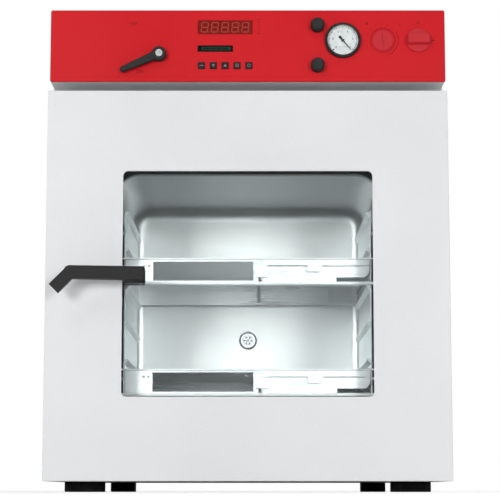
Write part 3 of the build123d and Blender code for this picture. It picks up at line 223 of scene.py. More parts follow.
class EffectShop:
    """Builds each shared node group once and hands it out."""

    @cache
    def group(self, effect: Effect) -> Tree:
        """Gives a shared group, and makes it at its first use.

        Args:
            effect: Which group.

        Returns:
            The group's tree.
        """
        builders = (self.build_grain, self.build_brush, self.build_haze, self.build_dust)
        return dict(zip(Effect, builders))[effect]()

    @staticmethod
    def start(
        effect: Effect, inputs: dict[str, float | Place], outputs: tuple[str, ...]
    ) -> tuple[NodeSheet, dict[str, Socket], Node]:
        """Makes an empty group with named sockets.

        Args:
            effect: Which group, for its name.
            inputs: Name and default of each input after the position; a triple makes a vector.
            outputs: Name of each output.

        Returns:
            The sheet, the group's inputs by name, and its output node.
        """
        tree = bpy.data.node_groups.new(effect.value, "ShaderNodeTree")
        for name, value in {"Position": (0.0, 0.0, 0.0), **inputs}.items():
            kind = "NodeSocketVector" if isinstance(value, tuple) else "NodeSocketFloat"
            socket = tree.interface.new_socket(name, in_out="INPUT", socket_type=kind)
            socket.default_value = value
        for name in outputs:
            tree.interface.new_socket(name, in_out="OUTPUT", socket_type="NodeSocketFloat")
        sheet = NodeSheet(tree)
        came = sheet.node("NodeGroupInput").outputs
        named = {name: came[name] for name in ("Position", *inputs)}
        return sheet, named, sheet.node("NodeGroupOutput")

    def build_grain(self) -> Tree:
        """Makes the fine even texture of powder coat and moulded plastic.

        Returns:
            A group that puts out the height, the tone and the gloss.
        """
        cell_share, cell_height, speck_reach = 0.45, 0.6, 0.25
        sheet, came, goes = self.start(
            Effect.GRAIN, {"Grain Scale": 900.0, "Patch Scale": 6.0}, ("Height", "Tone", "Gloss")
        )
        position, scale = came["Position"], came["Grain Scale"]
        fine = sheet.noise(position, scale, Detail=3, Roughness=0.55)
        patch = sheet.noise(position, came["Patch Scale"], Detail=4)
        cell_scale = sheet.sum("MULTIPLY", scale, cell_share)
        cells = sheet.node(
            "ShaderNodeTexVoronoi", {"Vector": position, "Scale": cell_scale}, feature="SMOOTH_F1"
        )
        tone = sheet.range(patch, 0.3, 0.7)
        speck = sheet.range(fine, 0.3, 0.7, -speck_reach, speck_reach)
        distance = cells.outputs["Distance"]
        sheet.feed(
            goes,
            {
                "Height": sheet.sum("MULTIPLY_ADD", distance, cell_height, fine),
                "Tone": sheet.sum("ADD", tone, speck),
                "Gloss": sheet.range(patch, 0.35, 0.65),
            },
        )
        return sheet.tree

    def build_brush(self) -> Tree:
        """Makes the drawn-out scratches of brushed metal.

        Returns:
            A group that puts out the height, the streaks and a slow shift of tone.
        """
        broad_share, cloud_scale = 0.12, 5.0
        sheet, came, goes = self.start(
            Effect.BRUSH,
            {"Run": Axis.Z.value, "Fineness": 700.0},
            ("Height", "Streak", "Cloud"),
        )
        stretch = sheet.node(
            "ShaderNodeVectorMath", {0: came["Position"], 1: came["Run"]}, operation="MULTIPLY"
        ).outputs[0]
        broad_scale = sheet.sum("MULTIPLY", came["Fineness"], broad_share)
        fine = sheet.noise(stretch, came["Fineness"], Detail=5, Roughness=0.7)
        broad = sheet.noise(stretch, broad_scale, Detail=3)
        cloud = sheet.noise(came["Position"], cloud_scale)
        sheet.feed(
            goes,
            {
                "Height": fine,
                "Streak": sheet.range(sheet.sum("ADD", fine, broad), 0.7, 1.3),
                "Cloud": sheet.range(cloud, 0.3, 0.7),
            },
        )
        return sheet.tree

    def build_haze(self) -> Tree:
        """Makes the faint smears and wipe marks that handling leaves.

        Returns:
            A group that puts out one mask.
        """
        sheet, came, goes = self.start(Effect.HAZE, {"Spread": 9.0, "Amount": 0.5}, ("Mask",))
        smear = sheet.noise(came["Position"], came["Spread"], Detail=6, Distortion=1.4)
        mask = sheet.range(smear, 0.45, 0.75)
        sheet.feed(goes, {"Mask": sheet.sum("MULTIPLY", mask, came["Amount"])})
        return sheet.tree

    def build_dust(self) -> Tree:
        """Makes the thin dust that settles on faces that look up.

        Returns:
            A group that puts out one mask.
        """
        speck_scale, least_dust = 260.0, 0.15
        sheet, came, goes = self.start(
            Effect.DUST, {"Facing": (0.0, 0.0, 1.0), "Amount": 0.3}, ("Mask",)
        )
        up = sheet.node("ShaderNodeSeparateXYZ", {0: came["Facing"]}).outputs[2]
        speck = sheet.noise(came["Position"], speck_scale, Detail=5)
        spots = sheet.range(speck, 0.42, 0.7, least_dust)
        laid = sheet.sum("MULTIPLY", sheet.range(up, 0.55, 1.0), spots)
        sheet.feed(goes, {"Mask": sheet.sum("MULTIPLY", laid, came["Amount"])})
        return sheet.tree


EFFECTS = EffectShop()


class Surface(NodeSheet):
    """A material's tree with its Principled shader and the point on the object."""

    def __init__(self, tree: Tree) -> None:
        """Clears the tree and places the first nodes.

        Args:
            tree: The material's tree.
        """
        super().__init__(tree)
        tree.nodes.clear()
        self.shader = self.node("ShaderNodeBsdfPrincipled")
        self.position = self.node("ShaderNodeTexCoord").outputs["Object"]

    def coat(self, inputs: dict[str, object]) -> Socket:
        """Feeds the Principled shader.

        Args:
            inputs: A socket or a value for each input's name.

        Returns:
            The shader's output.
        """
        self.feed(self.shader, inputs)
        return self.shader.outputs[0]

    def effect(self, effect: Effect, inputs: dict[str, object]) -> bpy.types.bpy_prop_collection:
        """Places a shared group.

        Args:
            effect: Which group.
            inputs: A socket or a value for each input's name.

        Returns:
            The group's outputs.
        """
        placed = {"Position": self.position, **inputs}
        made = self.node("ShaderNodeGroup", placed, node_tree=EFFECTS.group(effect))
        return made.outputs

    def bump(self, height: Socket, depth: float, strength: float = 1.0) -> Socket:
        """Raises the surface by a height.

        Args:
            height: The height, 0 to 1.
            depth: The real depth of a height of 1, in metres.
            strength: The Bump node's strength.

        Returns:
            The surface's new direction.
        """
        inputs = {"Strength": strength, "Distance": depth, "Height": height}
        return self.node("ShaderNodeBump", inputs).outputs["Normal"]


@dataclass(frozen=True)
class Finish:
    """A surface finish that the pack brings under its name, and that stays as it is."""

    name: str

    def material(self) -> bpy.types.Material:
        """Gives the pack's own material.

        Returns:
            The material.
        """
        return bpy.data.materials[self.name]


@dataclass(frozen=True)
class Painted(Finish):
    """A finish with its own colour, and the steps that every painted finish shares."""

    colour: Colour

    def material(self) -> bpy.types.Material:
        """Gives the finish's material, and makes it at its first use.

        Returns:
            The material.
        """
        known = bpy.data.materials.get(self.name)
        if known:
            return known
        made = bpy.data.materials.new(self.name)
        made.use_nodes = True
        surface = Surface(made.node_tree)
        surface.coat({"Base Color": (*self.colour, 1)})
        surface.node("ShaderNodeOutputMaterial", {"Surface": self.paint(surface)})
        made.diffuse_color = (*self.colour, 1)
        return made

    def paint(self, surface: Surface) -> Socket:
        """Fills in the material; each kind of finish has its own way.

        Args:
            surface: The material's tree.

        Returns:
            The socket that goes to the output.
        """
        return surface.coat({})


@dataclass(frozen=True)
class PowderCoat(Painted):
    """Baked powder paint with its orange-peel grain and a little settled dust."""

    roughness: float = 0.42
    grain: float = 420.0
    depth: float = 0.00003
    dust: float = 0.2
    shift: float = 0.03
    gloss: float = 0.5

    def paint(self, surface: Surface) -> Socket:
        """Paints the grain, the smears and the dust.

        Args:
            surface: The material's tree.

        Returns:
            The shader's output.
        """
        duller, shinier = self.roughness + 0.08, self.roughness - 0.06
        facing = surface.node("ShaderNodeNewGeometry").outputs["Normal"]
        grain = surface.effect(Effect.GRAIN, {"Grain Scale": self.grain, "Patch Scale": 5.0})
        haze = surface.effect(Effect.HAZE, {"Spread": 7.0, "Amount": 0.5})
        dust = surface.effect(Effect.DUST, {"Facing": facing, "Amount": self.dust})
        tone = surface.shade(grain["Tone"], self.colour, 1 - self.shift, 1 + self.shift)
        gloss = surface.sum("ADD", grain["Gloss"], haze["Mask"])
        return surface.coat(
            {
                "Base Color": surface.blend(dust["Mask"], tone, linear(176, 173, 166)),
                "Roughness": surface.range(gloss, 0.0, 1.5, shinier, duller),
                "Specular IOR Level": self.gloss,
                "Normal": surface.bump(grain["Height"], self.depth, 0.6),
            }
        )


@dataclass(frozen=True)
class BrushedMetal(Painted):
    """Brushed or drawn metal, with its grain along one direction."""

    run: Axis = Axis.Z
    roughness: float = 0.32
    fineness: float = 700.0
    depth: float = 0.00001
    contrast: float = 0.1
    metallic: float = 1.0
    smear: float = 0.25

    def paint(self, surface: Surface) -> Socket:
        """Draws the streaks into colour, roughness and height.

        Args:
            surface: The material's tree.

        Returns:
            The shader's output.
        """
        duller, shinier = self.roughness + 0.07, self.roughness - 0.05
        dark, pale = 1 - self.contrast, 1 + self.contrast / 2
        brush = surface.effect(Effect.BRUSH, {"Run": self.run.value, "Fineness": self.fineness})
        haze = surface.effect(Effect.HAZE, {"Spread": 14.0, "Amount": 0.6})
        smears = surface.sum("MULTIPLY", haze["Mask"], self.smear)
        tone = surface.shade(brush["Streak"], self.colour, dark, pale)
        worn = surface.sum("ADD", brush["Streak"], brush["Cloud"])
        return surface.coat(
            {
                "Metallic": self.metallic,
                "Base Color": surface.blend(smears, tone, scaled(self.colour, 0.8)),
                "Roughness": surface.range(worn, 0.3, 1.7, shinier, duller),
                "Normal": surface.bump(brush["Height"], self.depth, 0.5),
            }
        )


@dataclass(frozen=True)
class Moulded(Painted):
    """Moulded plastic or rubber with a fine spark-eroded grain."""

    roughness: float = 0.45
    grain: float = 1400.0
    depth: float = 0.00002
    worn: Colour = (0.05, 0.05, 0.05)
    wear: float = 0.25
    gloss: float = 0.4

    def paint(self, surface: Surface) -> Socket:
        """Gives the grain, and a shine where hands rub.

        Args:
            surface: The material's tree.

        Returns:
            The shader's output.
        """
        rubbed = max(0.1, self.roughness - 0.12)
        grain = surface.effect(Effect.GRAIN, {"Grain Scale": self.grain, "Patch Scale": 40.0})
        haze = surface.effect(Effect.HAZE, {"Spread": 35.0, "Amount": self.wear})["Mask"]
        tone = surface.shade(grain["Tone"], self.colour, 0.92, 1.08)
        return surface.coat(
            {
                "Base Color": surface.blend(haze, tone, self.worn),
                "Roughness": surface.range(haze, 0.0, 0.5, self.roughness, rubbed),
                "Specular IOR Level": self.gloss,
                "Normal": surface.bump(grain["Height"], self.depth, 0.7),
            }
        )


@dataclass(frozen=True)
class Glazing(Painted):
    """Clear pane that lets light through, with a trace of wiping marks."""

    index: float = 1.18
    roughest: float = 0.03

    def paint(self, surface: Surface) -> Socket:
        """Makes the glass, which lets lamp light pass as the real pane does.

        Args:
            surface: The material's tree.

        Returns:
            The glass, or clear air for shadow rays and diffuse rays.
        """
        haze = surface.effect(Effect.HAZE, {"Spread": 5.0, "Amount": 1.0})["Mask"]
        glass = surface.coat(
            {
                "Transmission Weight": 1.0,
                "IOR": self.index,
                "Roughness": surface.range(haze, 0.2, 1.0, 0.0, self.roughest),
            }
        )
        clear = surface.node("ShaderNodeBsdfTransparent", {"Color": (*self.colour, 1)})
        rays = surface.node("ShaderNodeLightPath").outputs
        through = surface.sum("MAXIMUM", rays["Is Shadow Ray"], rays["Is Diffuse Ray"])
        inputs = {0: through, 1: glass, 2: clear.outputs[0]}
        return surface.node("ShaderNodeMixShader", inputs).outputs[0]


@dataclass(frozen=True)
class Print(Painted):
    """Printed ink or a lit or unlit segment, slightly uneven."""

    roughness: float = 0.5
    gloss: float = 0.15
    spread: float = 0.05

    def paint(self, surface: Surface) -> Socket:
        """Lays the ink down with small changes of density.

        Args:
            surface: The material's tree.

        Returns:
            The shader's output.
        """
        duller, shinier = self.roughness + self.spread, self.roughness - self.spread
        grain = surface.effect(Effect.GRAIN, {"Grain Scale": 2500.0, "Patch Scale": 120.0})
        return surface.coat(
            {
                "Base Color": surface.shade(grain["Tone"], self.colour, 0.9, 1.1),
                "Roughness": surface.range(grain["Gloss"], 0.0, 1.0, shinier, duller),
                "Specular IOR Level": self.gloss,
            }
        )


class Palette:
    """Every finish of the oven."""

    shell = PowderCoat("shell_powder_coat", linear(236, 237, 239), 0.4)
    sheet = PowderCoat("inner_sheet_coat", linear(206, 208, 209), 0.45)
    fascia = PowderCoat(
        "fascia_powder_coat", linear(213, 20, 31), 0.4, 500.0, 0.00002, 0.05, gloss=0.2
    )
    tank = Finish("tank_steel")
    rails = BrushedMetal("rail_steel", (0.74, 0.78, 0.81), Axis.Y, 0.36, metallic=0.5)
    # painted shade: the window surround's steel is made near black so that it shows the shade
    # inside the window's top edge
    surround = BrushedMetal("shade_dark_surround_steel", (0.2, 0.22, 0.24), Axis.Y, 0.34)
    rack = BrushedMetal(
        "rack_aluminium", (0.7, 0.72, 0.74), Axis.X, 0.3, 900.0, metallic=0.85
    )
    # painted highlight: a pale, nearly non-metal copy of the rack aluminium that shows the bars'
    # fronts as bright lines
    bar_highlight = BrushedMetal(
        "painted_highlight_edge", (0.93, 0.945, 0.955), Axis.X, 0.35, 900.0, metallic=0.15
    )
    plated = Finish("plated_steel")
    pipe = BrushedMetal("drawn_pipe", (0.6, 0.61, 0.62), Axis.Y, 0.25, 1200.0)
    copper = Finish("copper_pipe")
    brass = BrushedMetal("turned_brass", (0.7, 0.5, 0.2), Axis.Y, 0.28, 1500.0)
    glass = Glazing("clear_pane", (0.97, 0.985, 0.98))
    seal = Moulded("seal_silicone", linear(40, 44, 48), 0.5, 900.0)
    rubber = Moulded("foot_rubber", linear(17, 17, 18), 0.7, 500.0, 0.00005, gloss=0.15)
    black = Finish("black_plastic")
    key = Moulded("key_cap", linear(28, 12, 14), 0.35, 1800.0, 0.00001)
    red_plastic = Finish("red_plastic")
    white = Moulded("white_cap", linear(226, 228, 228), 0.4, 1800.0, 0.00001, (0.7, 0.7, 0.69))
    mat = Moulded("heating_mat", linear(150, 74, 40), 0.6, 600.0)
    board = Finish("circuit_board")
    wool = Finish("mineral_wool")
    led_window = Print("led_filter", linear(134, 30, 24), 0.22)
    led_segment = Print("led_segment_off", linear(172, 66, 58), 0.4)
    lcd_window = Print("lcd_filter", linear(6, 22, 18), 0.18)
    lcd_field = Print("lcd_field", linear(28, 58, 44), 0.4)
    dark_red_ink = Print("dark_red_ink", linear(112, 12, 18))
    # the same black serves the gauge's print and, on the baffle, painted shade inside the fine
    # holes
    black_ink_and_hole_shade = Print("black_ink_and_hole_shade", linear(20, 21, 24))
    grey_ink = Print("grey_ink", linear(150, 128, 132))
    # painted shade: grey strips on the white lever cap that stand in for the shade in its grooves
    rib_shade_grey = Print("rib_shade_grey", linear(150, 152, 154))
    dial_white = Print("dial_white", linear(240, 242, 243), 0.45)


CAD_FINISHES: dict[Finish, tuple[str, ...]] = {
    Palette.shell: ("outer_casing", "control_housing", "door_shell"),
    Palette.sheet: ("rear_panel", "base_plate", "front_frame", "door_liner"),
    Palette.fascia: ("control_fascia",),
    Palette.led_window: ("display_window",),
    Palette.lcd_window: ("lcd_window",),
    Palette.board: ("controller_board",),
    Palette.tank: ("inner_chamber", "port_baffle"),
    Palette.rails: ("rail_plates",),
    Palette.surround: ("window_surround",),
    Palette.rack: tuple(
        f"{rack}_{piece}"
        for rack in ("upper", "lower")
        for piece in ("rack_frame", "rack_slide", "tension_lever")
    ),
    Palette.plated: (
        *("hinge_arms", "hinge_brackets", "latch_arm", "door_striker", "glass_clips"),
        *("vacuum_port", "gas_nozzles", "pane_springs"),
    ),
    Palette.pipe: ("vacuum_pipe", "temperature_probe"),
    Palette.copper: ("gas_pipes",),
    Palette.brass: ("vacuum_valve", "needle_valves"),
    Palette.glass: ("window_glass", "vacuum_glass", "gauge_lens"),
    Palette.seal: ("door_seal",),
    Palette.rubber: ("feet",),
    Palette.wool: ("insulation",),
    Palette.mat: ("heater_mats",),
    Palette.black: (
        *("door_handle", "handle_bearing", "valve_lever", "vent_knob", "gas_knob"),
        *("gauge_case", "gauge_pointer", "mains_gland", "rotary_switches"),
    ),
    Palette.key: tuple(f"key_{number}" for number in range(1, 6)),
    Palette.white: ("lever_cap",),
    Palette.dial_white: ("gauge_dial",),
    Palette.red_plastic: ("thermostat_dial", "main_switch_knob"),
}


def dress_nodes() -> None:
    """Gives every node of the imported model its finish."""
    for finish, names in CAD_FINISHES.items():
        for name in names:
            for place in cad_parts[name].material_slots:
                place.material = finish.material()
            LOG.info("dressed %s with %s", name, finish.name)


@dataclass(frozen=True)
class Layer:
    """Depth behind the door's face, finish, slot and thickness of a set of pieces."""

    depth: float
    finish: Finish
    slot: str
    thickness: float = 0.05


RED_PRINT = Layer(0.0, Palette.dark_red_ink, "red_paint")


@dataclass(frozen=True)
class PieceMaker:
    """Makes flat and turned pieces that stand off a plane which faces the front."""

    body: str
    prefix: str

    def keep(self, made: bmesh.types.BMesh, name: str, layer: Layer) -> bpy.types.Mesh:
        """Turns a finished shape into a piece that rides on the body.

        Args:
            made: The shape, in metres.
            name: The piece's name.
            layer: Its finish, which fills the piece's material slot.

        Returns:
            The piece's mesh.
        """
        mesh = bpy.data.meshes.new(name)
        made.to_mesh(mesh)
        made.free()
        mesh.materials.append(layer.finish.material())
        piece = bpy.data.objects.new(f"{self.prefix}_{name}", mesh)
        bpy.context.scene.collection.objects.link(piece)
        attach(piece, self.body)
        LOG.info("built %s on %s", piece.name, self.body)
        return mesh

    def plates(self, name: str, outlines: list[Outline], layer: Layer) -> None:
        """Makes flat plates from outlines seen from the front.

        Args:
            name: The piece's name.
            outlines: Outlines as x and z.
            layer: Depth of their back, thickness and stuff.
        """
        made = bmesh.new()
        back = (DOOR_FACE + layer.depth) * MM
        front = back - layer.thickness * MM
        for outline in outlines:
            after = outline[1:] + outline[:1]
            area = sum(a[0] * b[1] - b[0] * a[1] for a, b in zip(outline, after))
            turned = outline if area >= 0 else outline[::-1]
            rear = [made.verts.new((x * MM, back, z * MM)) for x, z in turned]
            fore = [made.verts.new((x * MM, front, z * MM)) for x, z in turned]
            made.faces.new(fore)
            made.faces.new(rear[::-1])
            for here in range(len(turned)):
                there = (here + 1) % len(turned)
                made.faces.new((fore[here], rear[here], rear[there], fore[there]))
        self.keep(made, name, layer)

    def lettering(self, name: str, words: list[tuple[str, Point, float]], layer: Layer) -> None:
        """Sets short words or numbers as thin raised print.

        Args:
            name: The piece's name.
            words: Each text with the x and z of its middle and its height.
            layer: Depth of the print's back and its stuff.
        """
        half_thickness, size_of_height = 0.03, 1.4
        made = bmesh.new()
        for text, (x, z), height in words:
            curve = bpy.data.curves.new(name, "FONT")
            curve.body = text
            curve.size = height * size_of_height * MM
            curve.align_x = "CENTER"
            curve.align_y = "CENTER"
            curve.extrude = half_thickness * MM
            curve.resolution_u = 3
            holder = bpy.data.objects.new(name, curve)
            bpy.context.scene.collection.objects.link(holder)
            mesh = bpy.data.meshes.new_from_object(holder)
            turn = Euler((math.pi / 2, 0, 0)).to_matrix().to_4x4()
            turn.translation = Vector((x, DOOR_FACE + layer.depth - half_thickness, z)) * MM
            mesh.transform(turn)
            made.from_mesh(mesh)
            bpy.data.meshes.remove(mesh)
            bpy.data.objects.remove(holder)
            bpy.data.curves.remove(curve)
        self.keep(made, name, layer)

    def turned(
        self, name: str, centres: list[Point], profile: list[Point], layer: Layer, steps: int
    ) -> None:
        """Turns a profile round axes that point to the front.

        Args:
            name: The piece's name.
            centres: The x and z of each axis.
            profile: Radius and distance towards the front.
            layer: Depth from which the distances count, and the stuff.
            steps: Steps round the axis.
        """
        made = bmesh.new()
        for centre in centres:
            rings = []
            for radius, out in profile:
                y = (DOOR_FACE + layer.depth - out) * MM
                turns = [360 * step / steps for step in range(steps if radius else 1)]
                round_it = [around(centre, radius, turn) for turn in turns]
                rings.append([made.verts.new((x * MM, y, z * MM)) for x, z in round_it])
            for first, second in zip(rings, rings[1:]):
                for step in range(steps):
                    after = (step + 1) % steps
                    corners = [first[step % len(first)], first[after % len(first)]]
                    corners += [second[after % len(second)], second[step % len(second)]]
                    kept = list(dict.fromkeys(corners))
                    if len(kept) > 2:
                        made.faces.new(kept)
        bmesh.ops.recalc_face_normals(made, faces=made.faces)
        self.keep(made, name, layer).shade_smooth()


def around(centre: Point, radius: float, angle: float) -> Point:
    """Gives the point at a radius and an angle round a centre.

    Args:
        centre: The centre.
        radius: The radius.
        angle: The angle, from +X towards +Z.

    Returns:
        The point.
    """
    turn = math.radians(angle)
    return centre[0] + radius * math.cos(turn), centre[1] + radius * math.sin(turn)


def arc_band(
    centre: Point,
    inner: float,
    outer: float,
    start: float = 0.0,
    end: float = 359.9,
    steps: int = 24,
) -> Outline:
    """Outlines a band along an arc; by default a ring, open by a hair to have one outline.

    Args:
        centre: The arc's centre.
        inner: Inner radius.
        outer: Outer radius.
        start: Start angle, from +X towards +Z.
        end: End angle.
        steps: Steps along the arc.

    Returns:
        The outline.
    """
    angles = [start + (end - start) * step / steps for step in range(steps + 1)]
    out = [around(centre, outer, angle) for angle in angles]
    return out + [around(centre, inner, angle) for angle in reversed(angles)]


def tick(centre: Point, inner: float, outer: float, angle: float, width: float) -> Outline:
    """Outlines a straight mark that points at a centre.

    Args:
        centre: The centre.
        inner: Where the mark starts.
        outer: Where it ends.
        angle: Its direction.
        width: Its width.

    Returns:
        The outline.
    """
    corners = ((inner, -90), (outer, -90), (outer, 90), (inner, 90))
    return [around(around(centre, r, angle), width / 2, angle + side) for r, side in corners]


def block(x: float, z: float, width: float, height: float) -> Outline:
    """Outlines an upright rectangle.

    Args:
        x: Its middle across.
        z: Its middle up.
        width: Its width.
        height: Its height.

    Returns:
        The outline.
    """
    corners = ((-1, -1), (1, -1), (1, 1), (-1, 1))
    return [(x + right * width / 2, z + up * height / 2) for right, up in corners]


def round_block(x: float, z: float, width: float, height: float, radius: float) -> Outline:
    """Outlines an upright rectangle with round corners.

    Args:
        x: Its middle across.
        z: Its middle up.
        width: Its width.
        height: Its height.
        radius: Its corners' radius.

    Returns:
        The outline.
    """
    steps = 6
    lower_left, lower_right, upper_right, upper_left = block(
        x, z, width - 2 * radius, height - 2 * radius
    )
    corners = {0: upper_right, 90: upper_left, 180: lower_left, 270: lower_right}
    turns = [90 * step / steps for step in range(steps + 1)]
    return [around(corners[start], radius, start + turn) for start in corners for turn in turns]


@dataclass
class ControlPanel:
    """Prints, digits and key signs on the fascia."""

    display_centre: Point = (-36.25, 735.8)
    display_width: float = 87.0
    digit_count: int = 5
    digit_margin: float = 0.35
    digit_size: Point = (10.2, 15.5)
    digit_slant: float = 0.1
    segment: float = 1.7
    segment_gap: float = 0.35
    dot_gap: float = 1.9
    dot_side: float = 1.5
    lcd_centre: Point = (-51.85, 700.9)
    lcd_field_size: Point = (46.8, 5.8)
    lcd_field_shift: float = 1.5
    lcd_signs: int = 14
    lcd_first_sign: float = -18.0
    lcd_sign_pitch: float = 2.9
    lcd_sign_widths: tuple[float, ...] = (1.9, 1.2, 2.3)
    lcd_sign_heights: tuple[float, ...] = (3.4, 2.9)
    valve_centre: Point = (-140.8, 690.3)
    dial_centre: Point = (215.2, 714.3)
    dial_marks: int = 13
    dial_sweep: float = 256.0
    dial_reach: Point = (25.2, 27.6)
    band_reach: Point = (24.6, 25.3)
    ring_marks: int = 25
    ring_reach: tuple[float, ...] = (17.9, 19.4, 20.1)
    switch_centre: Point = (271.6, 714.3)
    status_place: Point = (17.0, 725.5)
    status_marks: int = 6
    status_pitch: float = 4.6
    key_first: Point = (-73.8, 673.0)
    key_pitch: float = 18.9
    key_front: float = -1.5
    maker: PieceMaker = PieceMaker("cabinet", "panel")

    def build(self) -> None:
        """Builds every printed or set-in detail of the panel."""
        self.digits()
        self.lcd()
        self.valve_scale()
        self.thermostat_scale()
        self.switch_scale()
        self.status_column()
        self.key_signs()

    def digits(self) -> None:
        """Makes the unlit seven-part digits behind the filter, each with its dot."""
        outlines: list[Outline] = []
        wide, tall = self.digit_size
        middle, level = self.display_centre
        half = self.segment / 2
        slant = self.digit_slant
        pitch = self.display_width / (self.digit_count + self.digit_margin)
        bars = [(0, tall / 2, 0), (0, 0, 0), (0, -tall / 2, 0)]
        bars += [(side * wide / 2, up * tall / 4, 90) for side in (1, -1) for up in (1, -1)]
        for number in range(self.digit_count):
            x = middle + (number - (self.digit_count - 1) / 2) * pitch
            for across, up, turn in bars:
                length = (tall / 2 if turn else wide) / 2 - self.segment_gap
                shape = [(-length, 0.0), (half - length, half), (length - half, half)]
                shape += [(length, 0.0), (length - half, -half), (half - length, -half)]
                if turn:
                    shape = [(-b, a) for a, b in shape]
                x_bar, z_bar = x + across + slant * up, level + up
                outlines.append([(x_bar + a + slant * b, z_bar + b) for a, b in shape])
            dot_x = x + wide / 2 + self.dot_gap
            outlines.append(block(dot_x, level - tall / 2, self.dot_side, self.dot_side))
        layer = Layer(0.0, Palette.led_segment, "display_filter", 0.06)
        self.maker.plates("digits", outlines, layer)

    def lcd(self) -> None:
        """Makes the field of the small display and its dark signs."""
        x, z = self.lcd_centre
        field = round_block(x + self.lcd_field_shift, z, *self.lcd_field_size, 1.0)
        layer = Layer(0.0, Palette.lcd_field, "display_filter", 0.06)
        self.maker.plates("lcd_field", [field], layer)
        signs = []
        for number in range(self.lcd_signs):
            place = x + self.lcd_first_sign + number * self.lcd_sign_pitch
            width, height = self.lcd_sign_widths[number % 3], self.lcd_sign_heights[number % 2]
            signs.append(block(place, z, width, height))
        layer = Layer(-0.06, Palette.lcd_window, "display_filter")
        self.maker.plates("lcd_signs", signs, layer)

    def valve_scale(self) -> None:
        """Prints the words for the two ends of the vacuum lever's travel."""
        x, z = self.valve_centre
        words = [("OFF", (x - 42.0, z + 50.5), 5.4), ("ON", (x - 30.5, z - 26.6), 5.0)]
        self.maker.lettering("lever_words", words, RED_PRINT)

    def thermostat_scale(self) -> None:
        """Prints the marks, the band, the wedge and the numbers round the thermostat."""
        centre = self.dial_centre
        x, z = centre
        angles = [
            180 - self.dial_sweep * step / (self.dial_marks - 1) for step in range(self.dial_marks)
        ]
        marks = [tick(centre, *self.dial_reach, angle, 0.7) for angle in angles]
        marks.append(arc_band(centre, *self.band_reach, -70, 30))
        marks.append([(x - 27, z + 26), (x - 23.6, z + 26), (x - 25.3, z + 31.5)])
        self.maker.plates("thermostat_marks", marks, RED_PRINT)
        foot, inner, outer = self.ring_reach
        marks = [arc_band(centre, inner, outer, steps=72)]
        marks += [
            tick(centre, foot, inner, 150 - 10 * step, 0.45) for step in range(self.ring_marks)
        ]
        self.maker.plates("thermostat_ring", marks, RED_PRINT)
        numbers = [("1", (x + 22.5, z + 27.0), 3.4), ("9", (x + 27.6, z + 25.0), 3.4)]
        self.maker.lettering("thermostat_numbers", numbers, RED_PRINT)

    def switch_scale(self) -> None:
        """Prints the marks of the main switch's two places."""
        x, z = self.switch_centre
        marks = [
            tick((x, z), 21.5, 28.0, 0, 0.8),
            arc_band((x, z + 29.0), 1.5, 2.1, steps=30),
            [(x + 21.0, z), (x + 24.0, z + 1.2), (x + 24.0, z - 1.2)],
        ]
        self.maker.plates("switch_marks", marks, RED_PRINT)

    def status_column(self) -> None:
        """Prints the column of small status marks right of the display."""
        x, z = self.status_place
        marks = [
            block(x + 0.4 * (step % 2), z + self.status_pitch * step, 4.0 - 0.8 * (step % 2), 0.9)
            for step in range(self.status_marks)
        ]
        self.maker.plates("status_marks", marks, RED_PRINT)

    def key_signs(self) -> None:
        """Puts a sign on each key, which rides on that key."""
        signs: list[list[Outline]] = [
            [block(0, 0, 6.0, 1.3), block(-2.4, 0, 1.1, 2.6)],
            [[(-2.6, 1.9), (2.6, 1.9), (0.0, -2.5)]],
            [[(-2.6, -1.9), (2.6, -1.9), (0.0, 2.5)]],
            [block(0, up, 4.8, 0.7) for up in (2.2, -2.2)]
            + [block(across, 0, 0.7, 3.7) for across in (-2.05, 2.05)]
            + [block(0, 0, 2.2, 0.7)],
            [arc_band((0, 0), 1.9, 2.6, steps=30)],
        ]
        layer = Layer(self.key_front, Palette.grey_ink, "black_plastic")
        for number, shapes in enumerate(signs):
            x = self.key_first[0] + number * self.key_pitch
            placed = [[(x + a, self.key_first[1] + b) for a, b in shape] for shape in shapes]
            maker = PieceMaker(f"button_{number + 1}", "key")
            maker.plates(f"sign_{number + 1}", placed, layer)


@dataclass
class Gauge:
    """Prints on the vacuum gauge's dial, and the pointer's hub."""

    centre: Point = (151.4, 713.5)
    dial_front: float = -2.5
    pointer_front: float = -3.7
    radius: float = 24.0
    start: float = 225.0
    sweep: float = 270.0
    steps: int = 50
    long_every: int = 5
    long_mark: Point = (4.2, 0.5)
    short_mark: Point = (2.8, 0.25)
    number_count: int = 6
    number_inset: float = 8.0
    number_height: float = 3.4
    hub_profile: tuple[Point, ...] = ((0, 0), (2.3, 0), (2.3, 0.7), (1.7, 1.2), (0, 1.3))
    maker: PieceMaker = PieceMaker("cabinet", "gauge")

    def angle(self, share: float) -> float:
        """Gives the direction of a share of the scale.

        Args:
            share: The share, 0 to 1.

        Returns:
            The direction.
        """
        return self.start - self.sweep * share

    def build(self) -> None:
        """Builds the scale, its numbers and the pointer's hub."""
        x, z = self.centre
        edge = self.radius
        marks = []
        for step in range(self.steps + 1):
            length, width = self.short_mark if step % self.long_every else self.long_mark
            turn = self.angle(step / self.steps)
            marks.append(tick(self.centre, edge - length, edge - 1.3, turn, width))
        start, end = self.angle(0), self.angle(1)
        marks.append(arc_band(self.centre, edge - 1.5, edge - 1.2, start, end, 60))
        marks.append(tick(self.centre, edge - 4.6, edge - 1.2, start, 1.7))
        marks.append(block(x + 0.5, z - 10.5, 15.0, 0.35))
        layer = Layer(self.dial_front, Palette.black_ink_and_hole_shade, "white_plastic", 0.04)
        self.maker.plates("scale", marks, layer)
        reach, last = edge - self.number_inset, self.number_count - 1
        numbers = []
        for number in range(self.number_count):
            place = around(self.centre, reach, self.angle(number / last))
            numbers.append((str(2 * (last - number)), place, self.number_height))
        self.maker.lettering("numbers", numbers, layer)
        layer = Layer(self.pointer_front, Palette.black, "black_plastic")
        hub = PieceMaker("pointer", "pointer")
        hub.turned("hub", [self.centre], list(self.hub_profile), layer, 24)


